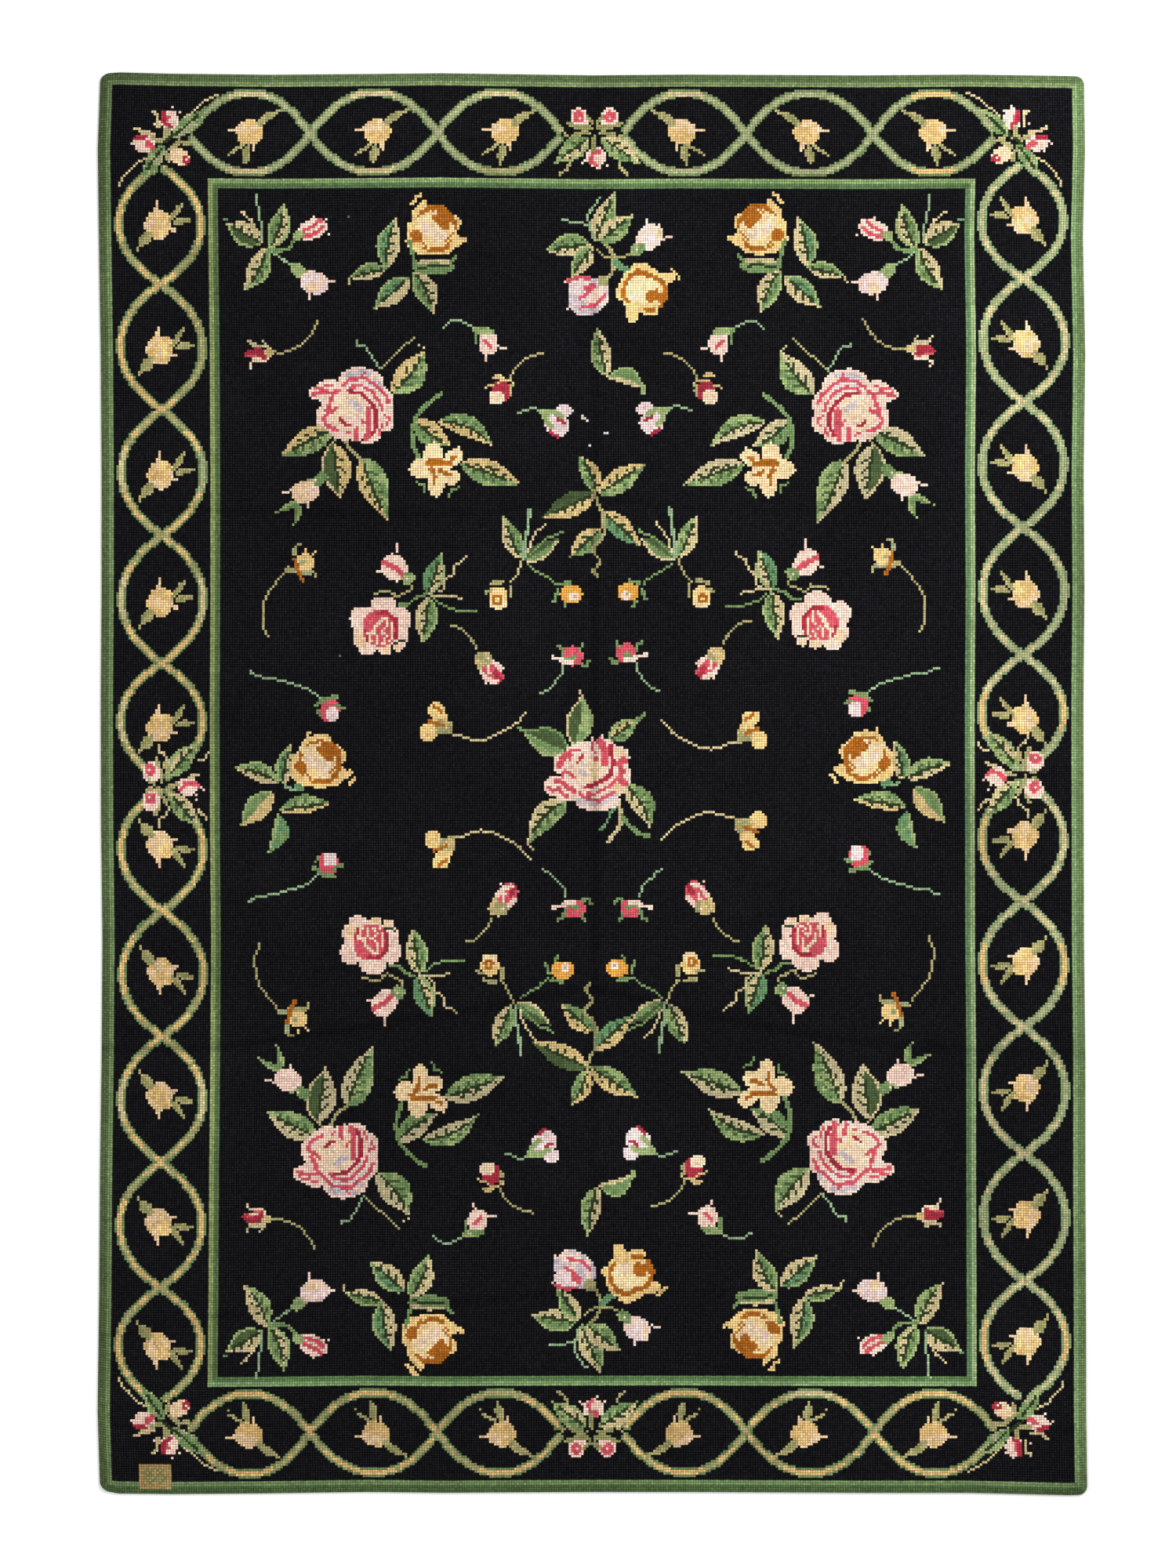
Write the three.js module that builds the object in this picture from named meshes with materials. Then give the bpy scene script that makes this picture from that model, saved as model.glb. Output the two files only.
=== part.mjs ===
// A needlepoint rug that lies flat: one stitched canvas whose margin is turned under as a hem.
// Millimetres, +Z up. The origin is under the middle of the rug, and its long side runs along Y.

import * as THREE from 'three';

const WIDTH = 1830;
const LENGTH = 2637;
const CLOTH_THICKNESS = 5;
const HEM_THICKNESS = 7.4;
const CORNER_RADIUS = 16;

// The rim is the rounded fold of the hem. The cloth is widest at this height.
const RIM_HEIGHT = 3.2;
const RIM_TUCK = 2.5;

// The cross-section from the rim inward: how high the upper side stands at each distance from the edge.
const RIM_PROFILE = [
  { inset: 0, height: RIM_HEIGHT },
  { inset: 1.6, height: 6.4 },
  { inset: 6, height: HEM_THICKNESS },
  { inset: CORNER_RADIUS, height: HEM_THICKNESS },
  { inset: 25, height: 6.9 },
  { inset: 36, height: CLOTH_THICKNESS },
];
const RIM_DEPTH = RIM_PROFILE[RIM_PROFILE.length - 1].inset;

// How far the long edges bulge outward from straight, at places along the rug.
const LONG_EDGES = [
  { y: 1318, left: -1, right: -1 },
  { y: 1180, left: 4, right: 1 },
  { y: 1020, left: 2, right: -3 },
  { y: 800, left: -1.5, right: 1.5 },
  { y: 580, left: -3, right: -1.5 },
  { y: 360, left: -3, right: 0 },
  { y: 145, left: -1.5, right: -2 },
  { y: -75, left: -2, right: -1.5 },
  { y: -290, left: -4.5, right: -1 },
  { y: -510, left: -3, right: 1.5 },
  { y: -730, left: 0, right: 1.5 },
  { y: -950, left: 1.5, right: 2.5 },
  { y: -1170, left: 4.5, right: 3 },
  { y: -1318, left: 0, right: 5 },
];

// How far the short edges bulge outward from straight, at places across the rug.
const SHORT_EDGES = [
  { x: -915, top: 1, bottom: -5 },
  { x: -880, top: 3.5, bottom: 1 },
  { x: -780, top: 1, bottom: 2 },
  { x: -600, top: -1, bottom: 0.5 },
  { x: -420, top: 0.5, bottom: -2 },
  { x: -280, top: 2, bottom: -0.5 },
  { x: 0, top: -2, bottom: -2 },
  { x: 180, top: -0.5, bottom: -2 },
  { x: 500, top: -2, bottom: -0.5 },
  { x: 700, top: -0.5, bottom: -0.5 },
  { x: 880, top: -3, bottom: 4 },
  { x: 915, top: -4, bottom: 3 },
];

// The rug was once folded, and three fold lines still cross it as soft troughs.
// Each line gives how far up the rug it lies and how deep it is, at places across.
const CROSS_CREASES = [
  [
    { x: -915, y: 512, depth: 0.6 },
    { x: -690, y: 509, depth: 0.9 },
    { x: -400, y: 498, depth: 0.9 },
    { x: -170, y: 508, depth: 1 },
    { x: -20, y: 536, depth: 1.2 },
    { x: 200, y: 510, depth: 0.5 },
    { x: 915, y: 508, depth: 0.4 },
  ],
  [
    { x: -915, y: -493, depth: 1.1 },
    { x: -690, y: -489, depth: 1.3 },
    { x: -474, y: -461, depth: 1.6 },
    { x: -227, y: -420, depth: 1.5 },
    { x: 0, y: -380, depth: 1.6 },
    { x: 181, y: -426, depth: 1.4 },
    { x: 356, y: -460, depth: 1.4 },
    { x: 575, y: -490, depth: 1.1 },
    { x: 915, y: -503, depth: 0.8 },
  ],
  [
    { x: -915, y: -1030, depth: 0.5 },
    { x: -560, y: -966, depth: 1 },
    { x: -250, y: -966, depth: 1.2 },
    { x: -30, y: -944, depth: 1 },
    { x: 300, y: -952, depth: 0.4 },
    { x: 915, y: -960, depth: 0.3 },
  ],
];

// The fold line down the middle, and how deep it is at places along the rug.
const CENTRE_CREASE_X = 4;
const CENTRE_CREASE = [
  { y: 1318, depth: 0.3 },
  { y: 950, depth: 0.6 },
  { y: 700, depth: 1.4 },
  { y: 300, depth: 1.6 },
  { y: -380, depth: 1.8 },
  { y: -600, depth: 0.9 },
  { y: -850, depth: 1.1 },
  { y: -1318, depth: 0.3 },
];
const CREASE_HALF_WIDTH = 13;

// The long, low swells of cloth that doesn't lie quite flat. Each crosses the rug along one direction.
const SWELLS = [
  { height: 0.35, across: 1.7, along: 0.6, start: 0.4 },
  { height: 0.3, across: -0.8, along: 2.3, start: 2.1 },
  { height: 0.2, across: 2.9, along: 3.4, start: 4.4 },
];

const GRID_STEP = 115;
const WOOL_COLOUR = '#1b1a1f';

// The value of one named column of a table at a place, with straight lines between its rows.
function readTable(table, placeColumn, valueColumn, place) {
  const rows = [...table].sort((a, b) => a[placeColumn] - b[placeColumn]);
  const last = rows[rows.length - 1];
  if (place <= rows[0][placeColumn]) return rows[0][valueColumn];
  if (place >= last[placeColumn]) return last[valueColumn];
  const next = rows.findIndex((row) => row[placeColumn] > place);
  const before = rows[next - 1];
  const after = rows[next];
  const share = (place - before[placeColumn]) / (after[placeColumn] - before[placeColumn]);
  return THREE.MathUtils.lerp(before[valueColumn], after[valueColumn], share);
}

// Grid lines along one side: close together in the rim and at each crease, and even between.
function gridLines(sideLength, creasePlaces) {
  const half = sideLength / 2;
  const fixed = RIM_PROFILE.flatMap(({ inset }) => [inset - half, half - inset]);
  for (const place of creasePlaces) {
    fixed.push(place - CREASE_HALF_WIDTH, place, place + CREASE_HALF_WIDTH);
  }
  fixed.sort((a, b) => a - b);
  const lines = [];
  for (let i = 0; i < fixed.length - 1; i += 1) {
    const gap = fixed[i + 1] - fixed[i];
    const steps = Math.max(1, Math.round(gap / GRID_STEP));
    for (let step = 0; step < steps; step += 1) {
      lines.push(fixed[i] + (gap * step) / steps);
    }
  }
  lines.push(half);
  return lines;
}

// The level of a crease's own grid line while it is still straight: that of the crease at its first row.
function creaseLevel(crease) {
  return crease[0].y;
}

// How far a grid line at level y is bent up or down at x, so that each crease has a line of its own.
function bendOfLines(x, y) {
  const stops = CROSS_CREASES.map((crease) => {
    const level = creaseLevel(crease);
    return { y: level, bend: readTable(crease, 'x', 'y', x) - level };
  });
  const edge = LENGTH / 2 - RIM_DEPTH;
  return readTable([{ y: edge, bend: 0 }, ...stops, { y: -edge, bend: 0 }], 'y', 'bend', y);
}

// Pulls the corner of a rectangle into a round one: a square of the corner's radius becomes a quarter disc.
function roundCorner(x, y) {
  const coreX = WIDTH / 2 - CORNER_RADIUS;
  const coreY = LENGTH / 2 - CORNER_RADIUS;
  const p = Math.max(0, Math.abs(x) - coreX) / CORNER_RADIUS;
  const q = Math.max(0, Math.abs(y) - coreY) / CORNER_RADIUS;
  if (p === 0 || q === 0) return [x, y];
  const outX = coreX + CORNER_RADIUS * p * Math.sqrt(1 - (q * q) / 2);
  const outY = coreY + CORNER_RADIUS * q * Math.sqrt(1 - (p * p) / 2);
  return [Math.sign(x) * outX, Math.sign(y) * outY];
}

// Where a point of the even rectangle lies once the edges wander as the real ones do.
function placeOnRug(x, y) {
  const [roundX, roundY] = roundCorner(x, y);
  const side = roundX < 0 ? 'left' : 'right';
  const end = roundY < 0 ? 'bottom' : 'top';
  const outward = readTable(LONG_EDGES, 'y', side, y) * Math.sign(roundX);
  const endward = readTable(SHORT_EDGES, 'x', end, x) * Math.sign(roundY);
  const shareX = Math.abs((2 * roundX) / WIDTH);
  const shareY = Math.abs((2 * roundY) / LENGTH);
  return [roundX + outward * shareX, roundY + endward * shareY];
}

// How much of a crease's depth is left at a distance from its line.
function troughShare(distance) {
  return Math.max(0, 1 - Math.abs(distance) / CREASE_HALF_WIDTH);
}

// The height of the cloth away from its rim: thickness, swells and creases.
function clothHeight(x, y) {
  const turnX = (2 * x) / WIDTH;
  const turnY = (2 * y) / LENGTH;
  let height = CLOTH_THICKNESS;
  for (const swell of SWELLS) {
    height += swell.height * Math.sin(swell.start + Math.PI * (swell.across * turnX + swell.along * turnY));
  }
  height -= troughShare(x - CENTRE_CREASE_X) * readTable(CENTRE_CREASE, 'y', 'depth', y);
  for (const crease of CROSS_CREASES) {
    height -= troughShare(y - creaseLevel(crease)) * readTable(crease, 'x', 'depth', x);
  }
  return height;
}

// The height of the upper side at a grid point: the hem's profile near the edge, and the cloth inside it.
function upperHeight(x, y) {
  const inset = Math.min(WIDTH / 2 - Math.abs(x), LENGTH / 2 - Math.abs(y));
  if (inset >= RIM_DEPTH) return clothHeight(x, y);
  return readTable(RIM_PROFILE, 'inset', 'height', inset);
}

function rugGeometry() {
  const columns = gridLines(WIDTH, [CENTRE_CREASE_X]);
  const rows = gridLines(LENGTH, CROSS_CREASES.map(creaseLevel));
  const points = [];
  const triangles = [];

  const pointIndex = (column, row) => row * columns.length + column;
  for (const y of rows) {
    for (const x of columns) {
      const [placeX, placeY] = placeOnRug(x, y + bendOfLines(x, y));
      points.push([placeX, placeY, upperHeight(x, y)]);
    }
  }
  for (let row = 0; row < rows.length - 1; row += 1) {
    for (let column = 0; column < columns.length - 1; column += 1) {
      const a = pointIndex(column, row);
      const b = pointIndex(column + 1, row);
      const c = pointIndex(column + 1, row + 1);
      const d = pointIndex(column, row + 1);
      triangles.push([a, b, c], [a, c, d]);
    }
  }

  // The rim, once round and anticlockwise from above, as grid columns and rows.
  const lastColumn = columns.length - 1;
  const lastRow = rows.length - 1;
  const rim = [];
  for (let column = 0; column < lastColumn; column += 1) rim.push([column, 0]);
  for (let row = 0; row < lastRow; row += 1) rim.push([lastColumn, row]);
  for (let column = lastColumn; column > 0; column -= 1) rim.push([column, lastRow]);
  for (let row = lastRow; row > 0; row -= 1) rim.push([0, row]);

  // The underside is flat on the floor and starts a little inside the rim.
  const firstUnder = points.length;
  const tuckedX = WIDTH / 2 - RIM_TUCK;
  const tuckedY = LENGTH / 2 - RIM_TUCK;
  const outline = rim.map(([column, row]) => {
    const x = THREE.MathUtils.clamp(columns[column], -tuckedX, tuckedX);
    const y = THREE.MathUtils.clamp(rows[row], -tuckedY, tuckedY);
    const [placeX, placeY] = placeOnRug(x, y);
    points.push([placeX, placeY, 0]);
    return new THREE.Vector2(placeX, placeY);
  });
  rim.forEach(([column, row], i) => {
    const j = (i + 1) % rim.length;
    const above = pointIndex(column, row);
    const aboveNext = pointIndex(rim[j][0], rim[j][1]);
    const under = firstUnder + i;
    const underNext = firstUnder + j;
    triangles.push([under, underNext, aboveNext], [under, aboveNext, above]);
  });
  for (const [a, b, c] of THREE.ShapeUtils.triangulateShape(outline, [])) {
    triangles.push([firstUnder + a, firstUnder + c, firstUnder + b]);
  }

  const geometry = new THREE.BufferGeometry();
  geometry.setAttribute('position', new THREE.Float32BufferAttribute(points.flat(), 3));
  geometry.setIndex(triangles.flat());
  geometry.computeVertexNormals();
  return geometry;
}

function makeRug() {
  const wool = new THREE.MeshStandardMaterial({ color: WOOL_COLOUR, roughness: 0.95, metalness: 0 });
  const rug = new THREE.Mesh(rugGeometry(), wool);
  rug.name = 'rug';
  return rug;
}

const object = new THREE.Group();
object.add(makeRug());

export default object;
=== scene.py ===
"""Looks of the needlepoint rug: each stitch is a face of its own, coloured by a chart that is drawn here.

Sizes are millimetres or stitches where a name says so, and metres in Blender.
"""

import math

import bpy
import numpy as np
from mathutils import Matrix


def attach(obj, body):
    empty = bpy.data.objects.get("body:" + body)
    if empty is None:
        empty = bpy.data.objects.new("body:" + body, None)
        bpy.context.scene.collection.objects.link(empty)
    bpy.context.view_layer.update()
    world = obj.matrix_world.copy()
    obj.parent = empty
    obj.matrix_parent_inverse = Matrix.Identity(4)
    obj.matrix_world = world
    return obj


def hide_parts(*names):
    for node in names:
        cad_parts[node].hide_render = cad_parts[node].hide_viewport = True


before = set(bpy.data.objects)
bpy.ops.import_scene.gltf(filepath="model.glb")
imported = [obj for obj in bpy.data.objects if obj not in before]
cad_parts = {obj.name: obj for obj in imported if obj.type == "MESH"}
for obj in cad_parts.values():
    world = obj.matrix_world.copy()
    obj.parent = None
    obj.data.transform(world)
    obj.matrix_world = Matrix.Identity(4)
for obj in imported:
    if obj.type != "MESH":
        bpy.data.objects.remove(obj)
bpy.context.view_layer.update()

MM = 0.001

# The chart: one row and column of stitches each, counted from the middle of the rug.
COLUMNS = 397
ROWS = 572
CELL_X = np.arange(COLUMNS) - (COLUMNS - 1) / 2
CELL_Y = np.arange(ROWS) - (ROWS - 1) / 2

# Colours of the yarns, as red, green and blue from 0 to 255.
YARNS = {
    "ground": (22, 22, 25),
    "lime": (153, 171, 113),
    "green": (116, 143, 91),
    "teal": (103, 144, 101),
    "pine": (76, 93, 58),
    "rib": (46, 60, 36),
    "sage": (164, 166, 124),
    "sand": (196, 182, 142),
    "tan": (204, 186, 140),
    "gold": (220, 183, 121),
    "straw": (206, 180, 124),
    "pale": (246, 210, 192),
    "peach": (242, 206, 166),
    "ivory": (242, 212, 180),
    "lilac": (204, 188, 192),
    "rose": (210, 86, 98),
    "crimson": (170, 50, 66),
    "cream": (248, 216, 166),
    "yellow": (242, 204, 136),
    "buff": (231, 197, 156),
    "orange": (226, 160, 70),
    "brown": (174, 102, 34),
    "blush": (238, 212, 208),
    "olive": (168, 160, 110),
    "moss": (150, 148, 96),
    "mist": (142, 168, 130),
    "band_edge": (110, 134, 86),
    "band_edge_pale": (126, 150, 106),
    "plain_patch": (172, 145, 92),
    "lint": (206, 198, 188),
    "dust": (92, 90, 92),
    "canvas": (196, 180, 146),
}

# The green yarns of the hem and of the inner line, on the left, right, bottom and top: outer and inner part.
# The hem's darker outer tone is partly its own yarn and partly painted shade, where the hem rolls over the edge.
HEM_GREENS = (
    ((84, 101, 64), (112, 134, 88)),
    ((104, 126, 82), (124, 152, 103)),
    ((80, 104, 63), (114, 140, 92)),
    ((88, 106, 69), (118, 137, 91)),
)
LINE_GREENS = (
    ((136, 152, 96), (86, 108, 68)),
    ((144, 166, 116), (95, 125, 85)),
    ((128, 158, 106), (94, 124, 78)),
    ((132, 156, 103), (88, 115, 74)),
)

# The outer sides of the hem and of the inner line: left, right, bottom and top, in stitches from the middle.
# Then how far in each of the two tones reaches, the inner one first.
HEM_SIDES = (COLUMNS / 2, COLUMNS / 2, ROWS / 2, ROWS / 2)
HEM_WIDTHS = (5, 3)
LINE_SIDES = (154.5, 154.5, 243, 244)
LINE_WIDTHS = (4, 2)

# How square the ends of a petal are: 2 is an ellipse.
PETAL_SQUARENESS = 2.2

# How pointed a leaf is before and after its widest place, and how far its ends and its sides reach out.
BASE_POINT = 0.8
TIP_POINT = 1.15
LEAF_SLACK = 0.02
LEAF_MARGIN = 0.3
# The rib and the rims of a leaf in stitches, and where the rib begins and ends as shares of its length.
RIB_HALF_WIDTH = 0.55
RIB_SPAN = (0.08, 0.8)
RIM_WIDTH = 1.15
# A leaf's veins: how far apart they are, how far they slant forward and how wide they are, in stitches, how much
# of a half leaf they cross, between which shares of its length, and how wide a half leaf is that has them.
VEIN_STEP = 4
VEIN_SLANT = 0.9
VEIN_WIDTH = 1.1
VEIN_REACH = 0.6
VEIN_SPAN = (0.12, 0.85)
VEINED_WIDTH = 3.4
# Yarns of the half of a leaf that isn't green: its veins are the darkest.
WARM_YARNS = ("tan", "straw", "sand")

LIGHTNESS_SEED = 11
BLOTCH_SEED = 23
BLOTCH_PASSES = 3


def smooth_noise(shape, passes, seed):
    """A field of soft blotches between about -1 and 1."""
    field = np.random.default_rng(seed).normal(size=shape)
    for _ in range(passes):
        field = sum((np.roll(field, step, axis) for axis in (0, 1) for step in (1, -1)), field) / 5
    return field / (2 * field.std())


BLOTCHES = smooth_noise((ROWS, COLUMNS), BLOTCH_PASSES, BLOTCH_SEED)
CHART = np.empty((ROWS, COLUMNS, 3))
CHART[:] = YARNS["ground"]


class Pen:
    """Works stitches on the chart. It can be moved and mirrored, so one motif serves several places."""

    def __init__(self, home=(0, 0), at=None, flip_x=False, flip_y=False, swaps=None):
        self.home = home
        self.swaps = swaps or {}
        self.at = home if at is None else at
        self.turn = (-1 if flip_x else 1, -1 if flip_y else 1)
        self.x = home[0] + self.turn[0] * (CELL_X - self.at[0])
        self.y = home[1] + self.turn[1] * (CELL_Y - self.at[1])

    def colours(self, yarn):
        """The colours of one yarn, or of the two that "a/b" mixes, after this pen's exchanges."""
        return [YARNS[self.swaps.get(name, name)] for name in yarn.split("/")]

    def fill(self, yarn, low, high, inside):
        """Works the stitches between two corners that inside() picks. Two yarns, "a/b", are mixed."""
        rows = np.flatnonzero((self.y >= low[1]) & (self.y <= high[1]))
        columns = np.flatnonzero((self.x >= low[0]) & (self.x <= high[0]))
        if not len(rows) or not len(columns):
            return
        x, y = np.meshgrid(self.x[columns], self.y[rows])
        picked = inside(x, y)
        colours = self.colours(yarn)
        cells = np.ix_(rows, columns)
        patch = CHART[cells]
        patch[picked] = colours[0]
        patch[picked & (BLOTCHES[cells] > 0)] = colours[-1]
        CHART[cells] = patch

    def petal(self, yarn, x, y, long, wide, turn=0, square=PETAL_SQUARENESS):
        """A rounded shape, long and wide across, turned anticlockwise by degrees."""
        reach = max(long, wide) / 2 + 1
        cos, sin = math.cos(math.radians(turn)), math.sin(math.radians(turn))

        def inside(px, py):
            along = ((px - x) * cos + (py - y) * sin) / (long / 2)
            across = ((py - y) * cos - (px - x) * sin) / (wide / 2)
            return np.abs(along) ** square + np.abs(across) ** square <= 1

        self.fill(yarn, (x - reach, y - reach), (x + reach, y + reach), inside)

    def petals(self, yarn, *rows):
        """Several petals of one yarn: x, y, long, wide, and the turn where there is one."""
        for row in rows:
            self.petal(yarn, *row)

    def leaf(self, base, tip, left, right, wide=(4, 4), bow=0, rib="rib", rims=("", ""), full=0.45):
        """A leaf from base to tip, widest at the share full of its length.

        Left and right are as one walks to the tip, and bow leans it left.
        """
        dx, dy = tip[0] - base[0], tip[1] - base[1]
        length = math.hypot(dx, dy)
        dx, dy = dx / length, dy / length
        power = math.log(0.5) / math.log(full)
        reach = max(wide) + abs(bow) + 1
        low = (min(base[0], tip[0]) - reach, min(base[1], tip[1]) - reach)
        high = (max(base[0], tip[0]) + reach, max(base[1], tip[1]) + reach)

        def place(px, py):
            along = ((px - base[0]) * dx + (py - base[1]) * dy) / length
            within = (along > -LEAF_SLACK) & (along < 1 + LEAF_SLACK)
            along = np.clip(along, 0, 1)
            aside = (py - base[1]) * dx - (px - base[0]) * dy - bow * 4 * along * (1 - along)
            swell = np.sin(math.pi * along**power) ** np.where(along > full, TIP_POINT, BASE_POINT)
            half = np.where(aside > 0, wide[0], wide[1]) * swell + LEAF_MARGIN
            return along, aside, half, within & (np.abs(aside) <= half)

        def on_left(px, py):
            _, aside, _, within = place(px, py)
            return within & (aside > 0)

        def on_right(px, py):
            _, aside, _, within = place(px, py)
            return within & (aside <= 0)

        def on_rib(px, py):
            along, aside, _, within = place(px, py)
            return within & (np.abs(aside) < RIB_HALF_WIDTH) & (along > RIB_SPAN[0]) & (along < RIB_SPAN[1])

        def on_rim(side):
            def inside(px, py):
                _, aside, half, within = place(px, py)
                return within & (side * aside > half - RIM_WIDTH) & (side * aside > 0)

            return inside

        def on_vein(side):
            def inside(px, py):
                along, aside, half, within = place(px, py)
                near = side * aside
                phase = (along * length - VEIN_SLANT * near) % VEIN_STEP
                crossing = (phase < VEIN_WIDTH) & (near > 0) & (near < VEIN_REACH * half)
                return within & crossing & (along > VEIN_SPAN[0]) & (along < VEIN_SPAN[1])

            return inside

        self.fill(left, low, high, on_left)
        self.fill(right, low, high, on_right)
        if rib and max(wide) > VEINED_WIDTH:
            for side, yarn in ((1, left), (-1, right)):
                self.fill("rib" if yarn in WARM_YARNS else "pine", low, high, on_vein(side))
        for side, yarn in zip((1, -1), rims):
            if yarn:
                self.fill(yarn, low, high, on_rim(side))
        if rib:
            self.fill(rib, low, high, on_rib)

    def stroke(self, yarn, *points, wide=1):
        """A line of stitches through some points. One stitch wide, it steps from stitch to stitch."""
        for (x0, y0), (x1, y1) in zip(points, points[1:] or points):
            if wide > 1:
                self.bar(yarn, x0, y0, x1, y1, wide / 2)
                continue
            steps = max(1, math.ceil(max(abs(x1 - x0), abs(y1 - y0))))
            for step in range(steps + 1):
                x = x0 + (x1 - x0) * step / steps
                y = y0 + (y1 - y0) * step / steps
                column = math.floor(self.at[0] + self.turn[0] * (x - self.home[0]) + COLUMNS / 2)
                row = math.floor(self.at[1] + self.turn[1] * (y - self.home[1]) + ROWS / 2)
                CHART[row, column] = self.colours(yarn)[0]

    def strokes(self, yarn, *rows):
        """Several strokes of one yarn: how wide each is, and its points."""
        for wide, *points in rows:
            self.stroke(yarn, *points, wide=wide)

    def bar(self, yarn, x0, y0, x1, y1, half):
        """A straight line with round ends."""
        length2 = max((x1 - x0) ** 2 + (y1 - y0) ** 2, 1e-9)

        def inside(px, py):
            share = np.clip(((px - x0) * (x1 - x0) + (py - y0) * (y1 - y0)) / length2, 0, 1)
            gap = np.hypot(px - x0 - share * (x1 - x0), py - y0 - share * (y1 - y0))
            return gap <= half

        low = (min(x0, x1) - half, min(y0, y1) - half)
        high = (max(x0, x1) + half, max(y0, y1) + half)
        self.fill(yarn, low, high, inside)

    def dots(self, yarn, *points):
        for point in points:
            self.stroke(yarn, point)


# The motifs, each drawn where its upper left one lies.


def corner_sprig(pen):
    pen.leaf((-129.5, 216), (-124, 234), "green", "tan", (4, 4.2), -1, rims=("lime", "lime"))
    pen.leaf((-131, 216), (-140.5, 199), "lime/green", "tan", (4, 4.5), 1.5, rims=("lime", ""))
    pen.leaf((-133, 218), (-147.5, 226), "pine", "tan", (4.5, 4.5), rims=("lime", ""))
    pen.stroke("green", (-130, 215), (-125, 215), (-122, 216), (-119.5, 219.5), wide=1.5)
    pen.petal("pale", -112.5, 223.7, 12, 8, 22)
    pen.petal("lime", -118, 221.3, 5.5, 4, 20)
    pen.strokes(
        "rose", (1.6, (-116, 223), (-112, 225), (-109.5, 227)),
        (1.6, (-115.5, 220.5), (-111, 222), (-108.5, 224.5)),
    )
    pen.dots("pale", (-112.5, 228.5), (-107.5, 227), (-107, 224.5), (-106, 221.5))
    pen.strokes(
        "mist", (1, (-129, 214.5), (-126.5, 212.5), (-124.5, 211), (-121, 209)),
        (1, (-133, 219), (-133, 224), (-134, 228), (-135, 237)),
    )
    pen.petal("lime", -118, 206.8, 7, 5, -35)
    pen.petal("blush/pale", -112, 202, 12, 9, -10)
    pen.petal("peach", -113, 200, 5, 4)
    pen.strokes("pale", (1, (-107, 202), (-104, 202)), (1, (-114, 198), (-114, 195)))
    pen.stroke("tan", (-134.5, 221), (-137, 227), (-141.3, 230.8))
    pen.stroke("teal", (-148.5, 227.5), (-147, 227.5))


def gold_rose(pen, x, y):
    """A gold rose about 22 stitches across: a brown ring round a cream cup, its heart to one side."""

    def at(*places):
        return [(x + dx, y + dy) for dx, dy in places]

    for dx, dy, long, wide, turn in (
        (0, 2, 18, 17, 0),
        (-8, 0.8, 7, 8, 0),
        (-7, -4, 10, 8, -40),
        (0, -6.3, 15, 6.4, 0),
        (6.5, -4, 9, 5.5, 25),
        (8.4, 3.6, 4, 6, 0),
    ):
        pen.petal("yellow", x + dx, y + dy, long, wide, turn)
    ring = at((-7, 4), (-6.6, 7), (-4.2, 9.2), (-0.6, 10), (3, 9.6), (5.4, 7.4), (7.6, 4.4))
    pen.stroke("brown", *ring, wide=2.2)
    pen.stroke("brown", *at((8, 3.2), (8, 1.4)), wide=1.2)
    pen.petal("cream", x - 1.2, y + 0.6, 15, 11, -50)
    pen.petal("ivory", x + 1.6, y - 0.8, 7.5, 5, -35)
    pen.petal("pale", x - 3.6, y + 1.6, 3, 5)
    pen.petals("brown", (x + 2.6, y + 6.2, 9, 6, -25), (x + 4, y + 3.2, 5, 4, -40))
    pen.petal("cream", x + 6.6, y + 1.2, 2.6, 3.4)
    pen.petal("brown", x - 7.6, y - 1.4, 5.4, 4.6, -50)
    pen.stroke("brown", *at((-6, -3.6), (-3.8, -6.2), (-0.6, -7.2), (2.8, -7.2), (4.8, -6)), wide=1.9)
    pen.dots("yellow", *at((-4.6, -5.2), (-3, -6.6), (-5.8, -4.4)))
    pen.stroke("yellow", *at((-4.6, -1.4), (-2.6, -4), (0.4, -5)), wide=1.3)
    pen.dots("brown", *at((4.4, -3.2), (5.4, -2.2), (6.4, -1.2), (5.4, -4.2), (7.4, -0.2), (6.4, -3.2)))
    pen.stroke("cream", *at((-0.8, 7.4), (0.4, 8.2)))
    pen.dots("cream", *at((-1.8, 6.4), (8, 6.2)))


def gold_spray(pen):
    pen.leaf((-83, 208), (-79, 228), "teal", "tan", (4.5, 4.5), 1, rims=("lime", ""))
    pen.leaf((-83, 207.5), (-98, 204), "tan", "green", (2.5, 3.5), rims=("", "lime"))
    pen.stroke("tan", (-98, 203.5), (-98.5, 201.5))
    pen.leaf((-74, 203.5), (-88, 191.5), "tan", "teal", (4.5, 4.5), rims=("", "lime"))
    pen.leaf((-71.5, 206), (-64, 189), "tan", "green", (4.3, 4.3), 1, rims=("", "lime"))
    gold_rose(pen, -63.3, 222)
    pen.strokes(
        "yellow", (2.6, (-71.8, 225.5), (-71, 230.5), (-67.5, 233.5)),
        (1.4, (-73, 233.5), (-71, 234.5), (-70.8, 236.6), (-68.6, 237)), (1.6, (-68.5, 232), (-67, 234.6)),
        (2, (-54, 218), (-51, 219.4)),
    )
    pen.petal("green", -64, 207.8, 17, 5.5)
    pen.stroke("tan", (-71, 209.5), (-64, 210.5), (-57, 210), wide=1.6)
    pen.stroke("rib", (-70, 207.5), (-64, 208.3), (-58.5, 208))
    pen.strokes("green", (1.5, (-71.5, 210), (-73.5, 218)), (1.5, (-57, 209.5), (-55, 212)))


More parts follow.
